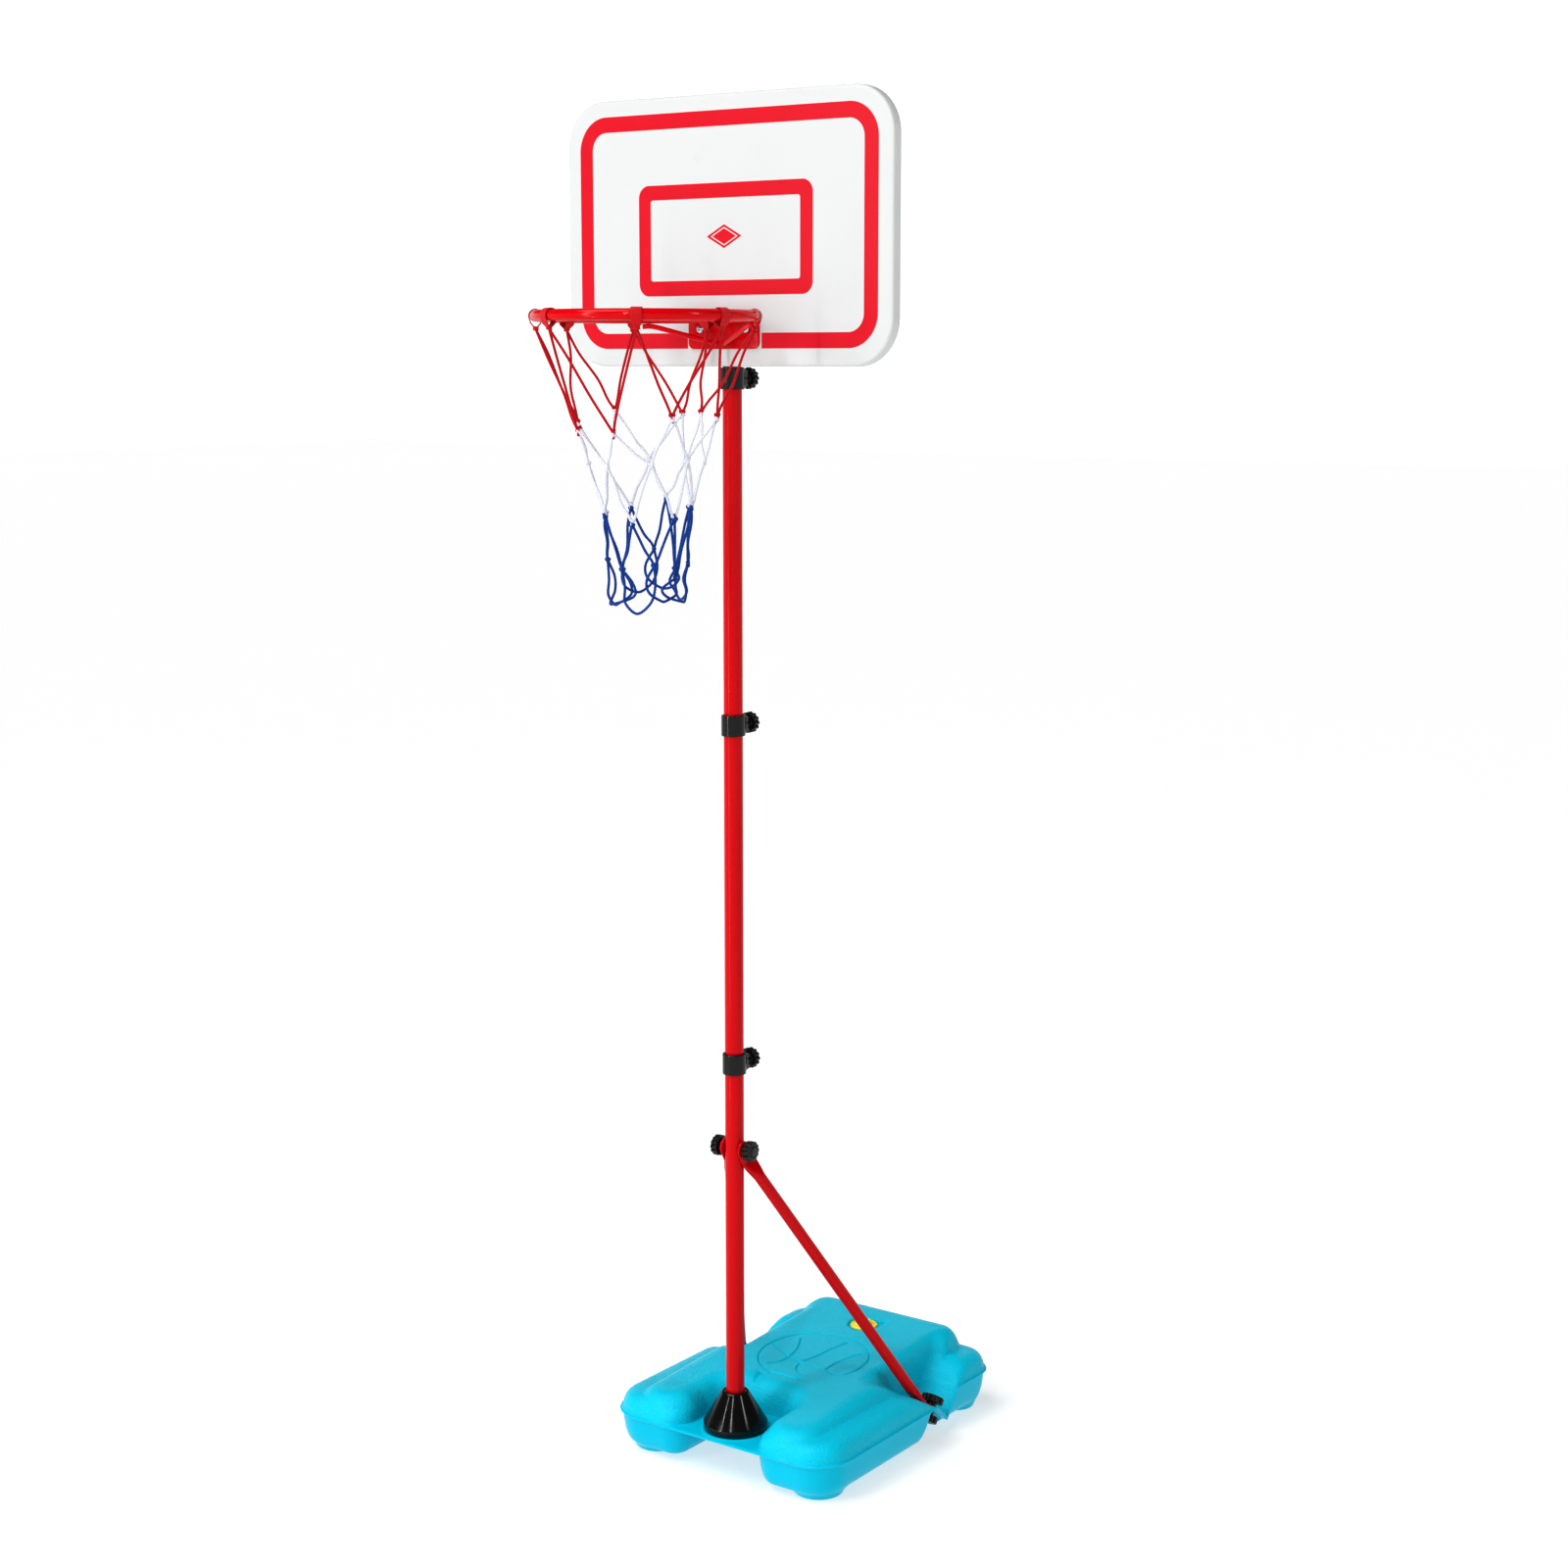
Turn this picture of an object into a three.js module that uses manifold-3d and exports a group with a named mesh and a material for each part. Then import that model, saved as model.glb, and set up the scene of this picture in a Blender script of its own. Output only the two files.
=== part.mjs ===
// A portable basketball hoop for children: a fillable plastic tank, a four-section steel pole
// with clamp collars, two rear struts, a moulded backboard, and a steel ring with a corded net.
//
// Units are millimetres and +Z is up. The hoop faces -Y: the ring is in front of the board.
// Everything is laid out about the pole's axis, and the whole model is then moved along Y, so
// that the origin is at the middle of its bounding box, on the floor.

import * as THREE from 'three';
import { mergeVertices } from 'three/addons/utils/BufferGeometryUtils.js';
import Module from 'manifold-3d';

const wasm = await Module();
wasm.setup();

// ---------------------------------------------------------------- driving dimensions
const GAP = 0.3;                  // clearance between pieces that touch

const TUBE_R = 11;                // pole: 22 mm steel tube with a 1 mm wall
const TUBE_WALL = 1;
const SWAGE_R = 9.7;              // narrowed tail of each upper section
const SWAGE_CONE = 6;             // height of the taper between tube and tail
const TAIL = 80;                  // how deep a tail sits in the section below

const COLLAR_Z = [498.5, 897, 1289];  // middle of the low, mid and top collars
const COLLAR_H = 24;
const COLLAR_R = 13.8;
const COLLAR_LIP = 4;             // how far the collar stands above the lower section
const POLE_TOP_Z = 1521;

const KNOB_R = 12;                // scalloped hand knobs
const KNOB_LOBES = 12;
const KNOB_T = 10;
const SCREW_R = 3;
const SCREW_HOLE_R = 3.3;

const SEAM_Z = 48;                // the tank's parting line
const FLANGE_T = 3;
const TANK_WALL = 2.6;
const TANK_FRONT = -45;
const TANK_REAR = 354;
const TANK_HALF_FRONT = 163.5;    // half widths of the tank at its seam
const TANK_HALF_REAR = 150;
const DECK_HALF_FRONT = 137;      // half widths of the raised deck where it leaves the seam
const DECK_HALF_REAR = 120;
const DECK_Z = 81;                // deck height at the pole, and its rise per mm to the rear
const DECK_RISE = 0.0476;

const NOTCH_HALF = 50;            // front notch, where the pole stands
const NOTCH_BACK = 52;
const SIDE_NOTCH_X = 104;         // inner wall of the side notches
const SHELF_SLOPE = 0.687;        // the shelf in each side notch falls towards the rear
const SHELF_TOP_Y = 192.5;        // where the shelf crosses the seam
const SHELF_LOW_Y = 237;          // the bottom of the V
const NOTCH_REAR_SLOPE = 1.22;
const SHELF_T = 3.6;              // shelf thickness, measured upright

const FEET = [[118, 4, 31], [113, 316, 25]];  // right feet: [x, y, radius]

const FILLER_Y = 276;
const FILLER_SEAT_Z = 90.5;
const FILLER_WELL_R = 20;
const FILLER_BORE_R = 12.5;

const FOOT_BOLT_R = 4;            // the bolt up into the pole, and its washer
const FOOT_BOLT_HOLE_R = 4.6;
const WASHER_R = 15;
const WASHER_T = 1.6;

const STRUT_R = 7;                // struts: 14 mm tube, crushed flat at both ends
const STRUT_TOP_Z = 395.7;
const SHELF_BOLT_X = 142;
const SHELF_BOLT_Y = 209;

const BOARD_HALF_W = 223.5;
const BOARD_BOTTOM = 1302;
const BOARD_TOP = 1598.5;
const BOARD_CORNER = 52;
const BOARD_FRONT = -13.8;
const BOARD_SKIN = 2.4;
const BOARD_DEPTH = 14.3;
const RIB_X = [20, 85, 150];      // ribs behind the board, on both sides, and cross ribs
const RIB_Z = [1372, 1450, 1528];
const RIB_T = 2;
const RIB_H = 7;

const RING_R = 116.5;             // ring centreline radius, and tube radius
const RING_TUBE_R = 6.6;
const RING_Y = -155.2;
const RING_Z = 1355.5;

const PLATE_HALF_W = 48.5;        // steel plate between ring and board
const PLATE_BOTTOM = 1321.5;
const PLATE_TOP = 1361;
const PLATE_T = 2.5;
const RIM_SCREW_X = 31.5;
const RIM_SCREW_Z = 1343.5;
const RIM_SCREW_R = 2.5;

// Where the net's straps hang on the ring, in degrees from +X. Their spacing is uneven, and
// they stay clear of the two braces.
const LOOP_ANGLES = [40, 93, 140, 176, 213, 255, 303, 350];
const BRACE_ANGLE = 50;
// The net's outline from the straps down: [height, radius].
const NET = { strap: [1338, 111], red: [1243, 78], white: [1151, 49], blue: [1042, 41] };

const ORIGIN_SHIFT = -(RING_Y - RING_R - RING_TUBE_R + TANK_REAR) / 2;

// ---------------------------------------------------------------- materials
function finish(color, roughness, metalness = 0) {
  return new THREE.MeshStandardMaterial({ color, roughness, metalness });
}
const RED_PAINT = finish(0xc40a14, 0.28, 0.1);
const CHROME = finish(0xd0d2d4, 0.15, 1);
const BLACK = finish(0x1b1b1c, 0.45);
const GLOSS_BLACK = finish(0x161617, 0.25);
const TURQUOISE = finish(0x00bcdc, 0.5);
const WHITE = finish(0xf6f8f8, 0.4);
const YELLOW = finish(0xf6e23c, 0.4);
const RED_CORD = finish(0xc81428, 0.85);
const WHITE_CORD = finish(0xf2f2f4, 0.85);
const BLUE_CORD = finish(0x1c3fae, 0.85);

// ---------------------------------------------------------------- solids and helpers
const hoop = new THREE.Group();
hoop.position.y = ORIGIN_SHIFT;

function addPiece(name, geometry, material, parent = hoop) {
  const mesh = new THREE.Mesh(geometry, material);
  mesh.name = name;
  parent.add(mesh);
  return mesh;
}

// A closed geometry as a manifold solid.
function solid(geometry) {
  const bare = geometry.clone();
  bare.deleteAttribute('normal');
  bare.deleteAttribute('uv');
  const merged = mergeVertices(bare, 1e-4);
  return new wasm.Manifold(new wasm.Mesh({
    numProp: 3,
    vertProperties: new Float32Array(merged.attributes.position.array),
    triVerts: new Uint32Array(merged.index.array),
  }));
}

function toGeometry(manifold) {
  const mesh = manifold.getMesh();
  const geometry = new THREE.BufferGeometry();
  geometry.setAttribute('position', new THREE.BufferAttribute(mesh.vertProperties, 3));
  geometry.setIndex(new THREE.BufferAttribute(mesh.triVerts, 1));
  return geometry;
}

const join = (...parts) => parts.reduce((sum, part) => sum.add(part));
const cut = (body, ...tools) => tools.reduce((rest, tool) => rest.subtract(tool), body);

function box(x0, x1, y0, y1, z0, z1) {
  const geometry = new THREE.BoxGeometry(x1 - x0, y1 - y0, z1 - z0);
  return geometry.translate((x0 + x1) / 2, (y0 + y1) / 2, (z0 + z1) / 2);
}

// A body of revolution about Z. The profile is a list of [radius, z], counter-clockwise.
function turned(profile, sides = 32) {
  const points = [...profile, profile[0]].map(([r, z]) => new THREE.Vector2(r, z));
  return new THREE.LatheGeometry(points, sides).rotateX(Math.PI / 2);
}

// An upright cylinder.
function rod(radius, z0, z1, sides = 12) {
  const geometry = new THREE.CylinderGeometry(radius, radius, z1 - z0, sides);
  return geometry.rotateX(Math.PI / 2).translate(0, 0, (z0 + z1) / 2);
}

// A rounded polygon. Corners are [x, y, radius], counter-clockwise; inset moves its sides in.
function roundedOutline(corners, inset = 0, steps = 4) {
  const count = corners.length;
  const sides = corners.map(([x, y], i) => {
    const [nx, ny] = corners[(i + 1) % count];
    const length = Math.hypot(nx - x, ny - y);
    const dir = new THREE.Vector2((nx - x) / length, (ny - y) / length);
    const start = new THREE.Vector2(x - dir.y * inset, y + dir.x * inset);
    return { dir, start };
  });
  const outline = [];
  corners.forEach(([, , radius], i) => {
    const before = sides[(i + count - 1) % count];
    const after = sides[i];
    const turn = before.dir.cross(after.dir);
    const along = after.start.clone().sub(before.start).cross(after.dir) / turn;
    const apex = before.start.clone().addScaledVector(before.dir, along);
    const r = Math.max(turn > 0 ? radius - inset : radius + inset, 0.8);
    const angle = Math.atan2(turn, before.dir.dot(after.dir));
    const reach = r * Math.tan(Math.abs(angle) / 2);
    const first = apex.clone().addScaledVector(before.dir, -reach);
    const side = Math.sign(turn);
    const centre = first.clone().add(
      new THREE.Vector2(-before.dir.y, before.dir.x).multiplyScalar(side * r));
    for (let k = 0; k <= steps; k += 1) {
      const swing = (angle * k) / steps;
      outline.push(first.clone().rotateAround(centre, swing));
    }
  });
  return outline;
}

// A closed body through a stack of outlines with equal counts of points. place(point, level)
// gives each point of each outline its position.
function loft(outlines, place) {
  const count = outlines[0].length;
  const positions = outlines.flatMap(
    (outline, level) => outline.flatMap((point) => place(point, level).toArray()));
  const index = [];
  for (let level = 0; level + 1 < outlines.length; level += 1) {
    for (let i = 0; i < count; i += 1) {
      const a = level * count + i;
      const b = level * count + ((i + 1) % count);
      index.push(a, b, b + count, a, b + count, a + count);
    }
  }
  const top = (outlines.length - 1) * count;
  for (const [a, b, c] of THREE.ShapeUtils.triangulateShape(outlines[0], [])) index.push(c, b, a);
  for (const [a, b, c] of THREE.ShapeUtils.triangulateShape(outlines.at(-1), [])) {
    index.push(a + top, b + top, c + top);
  }
  const geometry = new THREE.BufferGeometry();
  geometry.setAttribute('position', new THREE.Float32BufferAttribute(positions, 3));
  geometry.setIndex(index);
  return geometry;
}

// The full outline of a symmetric shape, from its corners with x > 0, front to rear.
function mirrored(half) {
  const left = half.map(([x, y, r]) => [-x, y, r]).reverse();
  return [...half, ...left];
}

// ---------------------------------------------------------------- tank
const deckZ = (y) => DECK_Z + DECK_RISE * y;
const shelfZ = (y) => SEAM_Z - SHELF_SLOPE * (y - SHELF_TOP_Y);

const LOBE_CORNER = [NOTCH_HALF, TANK_FRONT, 30];
const NOTCH_CORNER = [NOTCH_HALF, NOTCH_BACK, 20];
const SIDE_CORNERS = [
  [TANK_HALF_FRONT, TANK_FRONT, 47],
  [TANK_HALF_FRONT, SHELF_TOP_Y - 4, 20],
  [TANK_HALF_REAR, SHELF_LOW_Y, 20],
  [TANK_HALF_REAR, TANK_REAR, 36],
];
const SEAM = mirrored(SIDE_CORNERS);
const LOBED = mirrored([NOTCH_CORNER, LOBE_CORNER, ...SIDE_CORNERS]);
const DECK = mirrored([
  NOTCH_CORNER,
  [NOTCH_HALF, TANK_FRONT, 42],
  [DECK_HALF_FRONT, TANK_FRONT, 42],
  [DECK_HALF_FRONT, SHELF_TOP_Y - 10, 25],
  [DECK_HALF_REAR, SHELF_LOW_Y, 25],
  [DECK_HALF_REAR, TANK_REAR - 3, 36],
]);

// Shell sections as [inset, height]; the deck's heights are parts of its full height.
const LOWER_SHELL = [[21, 7], [14, 9.5], [7, 25], [1.5, SEAM_Z]];
const SHOULDER = [[1.5, SEAM_Z], [3, 57], [7, 64.5], [14, 69.5], [26, 71.5]];
const DECK_SHELL = [[0, 0], [4, 0.35], [9, 0.66], [15, 0.88], [22, 0.98], [31, 1]];

function levelStack(corners, levels, wall, topSink, bottomRise, steps) {
  const outlines = levels.map(([inset]) => roundedOutline(corners, inset + wall, steps));
  return loft(outlines, (p, level) => {
    let z = levels[level][1];
    if (level === 0) z += bottomRise;
    if (level === levels.length - 1) z -= topSink;
    return new THREE.Vector3(p.x, p.y, z);
  });
}

function deckStack(wall, bottomRise, steps) {
  const outlines = DECK_SHELL.map(([inset]) => roundedOutline(DECK, inset + wall, steps));
  return loft(outlines, (p, level) => {
    const part = DECK_SHELL[level][1];
    const z = SEAM_Z + bottomRise + (deckZ(p.y) - SEAM_Z - bottomRise - wall) * part;
    return new THREE.Vector3(p.x, p.y, z);
  });
}

// A prism along X between x0 and x1, from an outline of [y, z] pairs.
function prismX(outline, x0, x1) {
  const shape = new THREE.Shape(outline.map(([y, z]) => new THREE.Vector2(y, z)));
  const geometry = new THREE.ExtrudeGeometry(shape, { depth: x1 - x0, bevelEnabled: false });
  const axes = new THREE.Matrix4().makeBasis(
    new THREE.Vector3(0, 1, 0), new THREE.Vector3(0, 0, 1), new THREE.Vector3(1, 0, 0));
  return geometry.applyMatrix4(axes).translate(x0, 0, 0);
}

const V_LOW_Z = shelfZ(SHELF_LOW_Y);
const V_REAR = [SHELF_LOW_Y + (72 - V_LOW_Z) / NOTCH_REAR_SLOPE, 72];
const V_FRONT = [SHELF_TOP_Y - (95 - SEAM_Z) / SHELF_SLOPE, 95];
const SKY = 130;

// Above the shelf: the open V of a side notch.
function upperNotch() {
  const above = prismX(
    [V_FRONT, [SHELF_LOW_Y, V_LOW_Z], V_REAR, [V_REAR[0] + 12, SKY], [V_FRONT[0], SKY]], 80, 190);
  const plan = (x) => [[x, 100, 4], [190, 100, 4], [190, 330, 4], [x, 330, 4]];
  const draft = loft(
    [roundedOutline(plan(SIDE_NOTCH_X + 1), 0, 1), roundedOutline(plan(SIDE_NOTCH_X - 12), 0, 1)],
    (p, level) => new THREE.Vector3(p.x, p.y, level ? SKY + 1 : 5));
  return solid(above).intersect(solid(draft));
}

// Below the shelf: the recess that the lower nut sits in.
function lowerNotch() {
  const under = (y) => shelfZ(y) - SHELF_T;
  const frontWall = SHELF_TOP_Y - 9;
  const outline = [
    [frontWall - 10, -5], [SHELF_LOW_Y - 3, -5], [SHELF_LOW_Y - 3, under(SHELF_LOW_Y - 3)],
    [SHELF_TOP_Y, under(SHELF_TOP_Y)], [frontWall, SEAM_Z - FLANGE_T / 2],
  ];
  return solid(prismX(outline, SIDE_NOTCH_X, 190));
}

// The space around a side notch that the tank's hollow keeps out of.
function notchKeepOut() {
  const w = TANK_WALL + 1;
  const outline = [
    [V_FRONT[0] - w, SKY], [V_FRONT[0] - w, V_FRONT[1] - w], [168, shelfZ(168) - w - 1],
    [168, -5], [SHELF_LOW_Y + w, -5], [SHELF_LOW_Y + w, V_LOW_Z - w],
    [V_REAR[0] + w, V_REAR[1] - w], [V_REAR[0] + 14 + w, SKY],
  ];
  return solid(prismX(outline, SIDE_NOTCH_X - 12 - TANK_WALL, 190));
}

const mirrorX = (body) => body.mirror([1, 0, 0]);

function tankGeometry() {
  const seam = roundedOutline(SEAM);
  const slab = (z0, z1) => loft([seam, seam], (p, level) =>
    new THREE.Vector3(p.x, p.y, level ? z1 : z0));
  const flange = solid(slab(SEAM_Z - FLANGE_T / 2, SEAM_Z + FLANGE_T / 2));
  const lip = (y) => [y, shelfZ(y) - SHELF_T];
  const strip = solid(prismX([
    [SHELF_TOP_Y - 5, shelfZ(SHELF_TOP_Y - 5)], lip(SHELF_TOP_Y - 5), lip(SHELF_LOW_Y + 1),
    [SHELF_LOW_Y + 28, SEAM_Z - FLANGE_T / 2], [SHELF_LOW_Y + 26, SEAM_Z + FLANGE_T / 2],
    [SHELF_LOW_Y, V_LOW_Z],
  ], SIDE_NOTCH_X - 4, 190)).intersect(solid(slab(0, 100)));
  const foot = (x, y, r) => solid(turned([[0, 0], [r - 3, 0], [r, 3], [r, 14], [0, 14]], 20)
    .translate(x, y, 0));
  const feet = FEET.flatMap(
    ([x, y, r]) => [foot(x, y, r), foot(-x, y, r)]);

  const skin = join(
    flange, strip, mirrorX(strip), ...feet,
    solid(levelStack(LOBED, LOWER_SHELL, 0, 0, 0, 4)),
    solid(levelStack(LOBED, SHOULDER, 0, 0, 0, 4)),
    solid(deckStack(0, 0, 5)));

  const hollow = join(
    solid(levelStack(LOBED, LOWER_SHELL, TANK_WALL, -2, TANK_WALL, 2)),
    solid(levelStack(LOBED, SHOULDER, TANK_WALL, TANK_WALL, -1, 2)),
    solid(deckStack(TANK_WALL, -1, 2)));
  const fillerSeat = rod(FILLER_WELL_R + 4, FILLER_SEAT_Z - 4, SKY, 20).translate(0, FILLER_Y, 0);
  const keepOut = notchKeepOut();
  const inside = cut(hollow, keepOut, mirrorX(keepOut), solid(fillerSeat));

  const upper = upperNotch();
  const lower = lowerNotch();
  return toGeometry(cut(
    skin, upper, mirrorX(upper), lower, mirrorX(lower), inside,
    solid(rod(FILLER_WELL_R, FILLER_SEAT_Z, SKY, 24).translate(0, FILLER_Y, 0)),
    solid(rod(FILLER_BORE_R, 60, SKY, 20).translate(0, FILLER_Y, 0)),
    solid(rod(FOOT_BOLT_HOLE_R, 30, 60)),
    ...[-1, 1].map((side) => solid(shelfHole(side)))));
}

const SHELF_TILT = Math.atan(SHELF_SLOPE);

// Turns a geometry whose +Z is the bolt's axis to stand on the shelf of one side.
function ontoShelf(geometry, side) {
  return geometry.rotateX(-SHELF_TILT)
    .translate(side * SHELF_BOLT_X, SHELF_BOLT_Y, shelfZ(SHELF_BOLT_Y));
}

function shelfHole(side) {
  return ontoShelf(rod(SCREW_HOLE_R + 0.3, -8, 8), side);
}

function fillerCapGeometry() {
  const seat = FILLER_SEAT_Z + GAP;
  const plug = turned([
    [0, seat - 9], [10.8, seat - 9], [12, seat - 7.5], [12, seat], [17.2, seat],
    [17.2, seat + 2.4], [16.2, seat + 3.2], [0, seat + 3.2],
  ], 20);
  const grip = turned([[0, seat + 3], [7, seat + 3], [7.4, seat + 6], [5.6, seat + 8.6],
    [0, seat + 9.6]], 12);
  return toGeometry(join(solid(plug), solid(grip)).translate(0, FILLER_Y, 0));
}

addPiece('base_tank', tankGeometry(), TURQUOISE);
addPiece('filler_cap', fillerCapGeometry(), YELLOW);

// ---------------------------------------------------------------- pole foot
const FLANGE_TOP = SEAM_Z + FLANGE_T / 2;
const FLANGE_BOTTOM = SEAM_Z - FLANGE_T / 2;

function footConeGeometry() {
  const z = FLANGE_TOP + GAP;
  const bore = TUBE_R + GAP;
  return turned([
    [bore, z], [15, z], [17.5, z + 26], [31, z + 6], [35, z], [38, z], [38.5, z + 9],
    [16.4, z + 46], [15, z + 47.2], [bore, z + 47.2],
  ], 28);
}

function poleEndPlugGeometry() {
  const z = FLANGE_TOP + GAP;
  const bore = FOOT_BOLT_R + 0.4;
  const reach = TUBE_R - TUBE_WALL - GAP;
  return turned([
    [bore, z], [reach, z], [reach, z + 26], [0, z + 26], [0, z + 20], [bore, z + 20],
  ], 14);
}

function footBoltGeometry() {
  const headTop = FLANGE_BOTTOM - GAP - WASHER_T - GAP;
  const headR = 7.5;
  const headH = 5.3;
  const head = new THREE.CylinderGeometry(headR, headR, headH, 6).rotateX(Math.PI / 2)
    .translate(0, 0, headTop - headH / 2);
  return toGeometry(join(solid(head), solid(rod(FOOT_BOLT_R, headTop - 1, FLANGE_TOP + 18))));
}

function footWasherGeometry() {
  const top = FLANGE_BOTTOM - GAP;
  const bore = FOOT_BOLT_R + 0.5;
  return turned([
    [bore, top - WASHER_T], [WASHER_R, top - WASHER_T], [WASHER_R, top], [bore, top]], 20);
}

addPiece('foot_cone', footConeGeometry(), GLOSS_BLACK);
addPiece('pole_end_plug', poleEndPlugGeometry(), BLACK);
addPiece('foot_bolt', footBoltGeometry(), CHROME);
addPiece('foot_washer', footWasherGeometry(), CHROME);

// ---------------------------------------------------------------- pole sections
const sectionTop = (i) => COLLAR_Z[i] + COLLAR_H / 2 - COLLAR_LIP;

// A section between two heights. With a tail it plugs into the section below.
function sectionProfile(bottom, top, tail) {
  const inner = TUBE_R - TUBE_WALL;
  if (!tail) return [[inner, bottom], [TUBE_R, bottom], [TUBE_R, top], [inner, top]];
  const low = bottom + 0.4;
  const high = low + SWAGE_CONE;
  return [
    [SWAGE_R - TUBE_WALL, bottom - TAIL], [SWAGE_R, bottom - TAIL], [SWAGE_R, low],
    [TUBE_R, high], [TUBE_R, top], [inner, top], [inner, high + 0.8],
    [SWAGE_R - TUBE_WALL, low + 0.8],
  ];
}

function sectionGeometry(bottom, top, tail, holes) {
  const tube = solid(turned(sectionProfile(bottom, top, tail), 24));
  return toGeometry(cut(tube, ...holes.map(solid)));
}

// The hole for a collar's screw, through the back wall only.
const screwHole = (z) => rod(SCREW_HOLE_R, 5, 30).rotateX(-Math.PI / 2).translate(0, 0, z);
const strutHole = rod(SCREW_HOLE_R, -20, 20).rotateY(Math.PI / 2).translate(0, 0, STRUT_TOP_Z);

addPiece('pole_lower', sectionGeometry(
  FLANGE_TOP + GAP, sectionTop(0), false, [strutHole, screwHole(COLLAR_Z[0])]), RED_PAINT);
addPiece('pole_mid_lower', sectionGeometry(
  sectionTop(0), sectionTop(1), true, [screwHole(COLLAR_Z[1])]), RED_PAINT);
addPiece('pole_mid_upper', sectionGeometry(
  sectionTop(1), sectionTop(2), true, [screwHole(COLLAR_Z[2])]), RED_PAINT);
addPiece('pole_top', sectionGeometry(sectionTop(2), POLE_TOP_Z, true, []), RED_PAINT);
addPiece('pole_top_cap', turned([
  [0, POLE_TOP_Z - 12], [SWAGE_R, POLE_TOP_Z - 12], [SWAGE_R, POLE_TOP_Z + GAP],
  [TUBE_R, POLE_TOP_Z + GAP], [TUBE_R - 1, POLE_TOP_Z + 3], [0, POLE_TOP_Z + 3.4],
], 16), BLACK);

// ---------------------------------------------------------------- knobs and collars
// A scalloped disc from z = 0 to z = thickness.
function scallopedDisc(radius, thickness) {
  const perLobe = 3;
  const count = KNOB_LOBES * perLobe;
  const outline = Array.from({ length: count }, (_, i) => {
    const angle = (i / count) * 2 * Math.PI;
    const r = radius - 0.7 + 0.7 * Math.cos(KNOB_LOBES * angle);
    return new THREE.Vector2(r * Math.cos(angle), r * Math.sin(angle));
  });
  const bevel = 1.2;
  return new THREE.ExtrudeGeometry(new THREE.Shape(outline), {
    depth: thickness - 2 * bevel,
    bevelThickness: bevel,
    bevelSize: bevel,
    bevelOffset: -bevel,
    bevelSegments: 1,
  }).translate(0, 0, bevel);
}

const HUB_R = 6;
const HUB_H = 4;

// A hand knob along +Z: hub from z = 0, head above it, and a screw that reaches below.
function knobSolid(screwReach) {
  const parts = [
    solid(scallopedDisc(KNOB_R, KNOB_T).translate(0, 0, HUB_H)),
    solid(rod(HUB_R, 0, HUB_H + 1)),
  ];
  if (screwReach > 0) parts.push(solid(rod(SCREW_R, -screwReach, 1)));
  return join(...parts);
}

// A knob nut: the same knob with a blind bore from its hub.
function knobNutSolid(boreDepth) {
  return cut(knobSolid(0), solid(rod(SCREW_HOLE_R, -1, boreDepth)));
}

const BOSS_END = 22;
const BOSS_HALF_W = 8;

function collarGeometry(z) {
  const ring = solid(rod(COLLAR_R, -COLLAR_H / 2, COLLAR_H / 2, 24));
  const half = COLLAR_H / 2;
  const boss = solid(prismX([
    [6, -half], [16, -half], [BOSS_END, -half + 3.5], [BOSS_END, half - 3.5], [16, half],
    [6, half],
  ], -BOSS_HALF_W, BOSS_HALF_W));
  const bore = solid(rod(TUBE_R + GAP + 0.1, -20, 20, 24));
  const screw = solid(rod(SCREW_HOLE_R, 5, 30).rotateX(-Math.PI / 2));
  return toGeometry(cut(join(ring, boss), bore, screw).translate(0, 0, z));
}

['low', 'mid', 'top'].forEach((place, i) => {
  addPiece(`collar_${place}`, collarGeometry(COLLAR_Z[i]), BLACK);
  const screwReach = BOSS_END + 0.5 - SWAGE_R - GAP;
  const knob = toGeometry(knobSolid(screwReach)).rotateX(-Math.PI / 2);
  addPiece(`collar_${place}_knob`, knob, BLACK).position.set(0, BOSS_END + 0.5, COLLAR_Z[i]);
});

// ---------------------------------------------------------------- struts
const TAB_HALF_W = 10.5;
const TAB_HALF_T = 1.4;
const SECTION_POINTS = 12;

const shelfNormal = new THREE.Vector3(0, Math.sin(SHELF_TILT), Math.cos(SHELF_TILT));
const TAB_X = TUBE_R + GAP + 0.1 + TAB_HALF_T;

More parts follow.
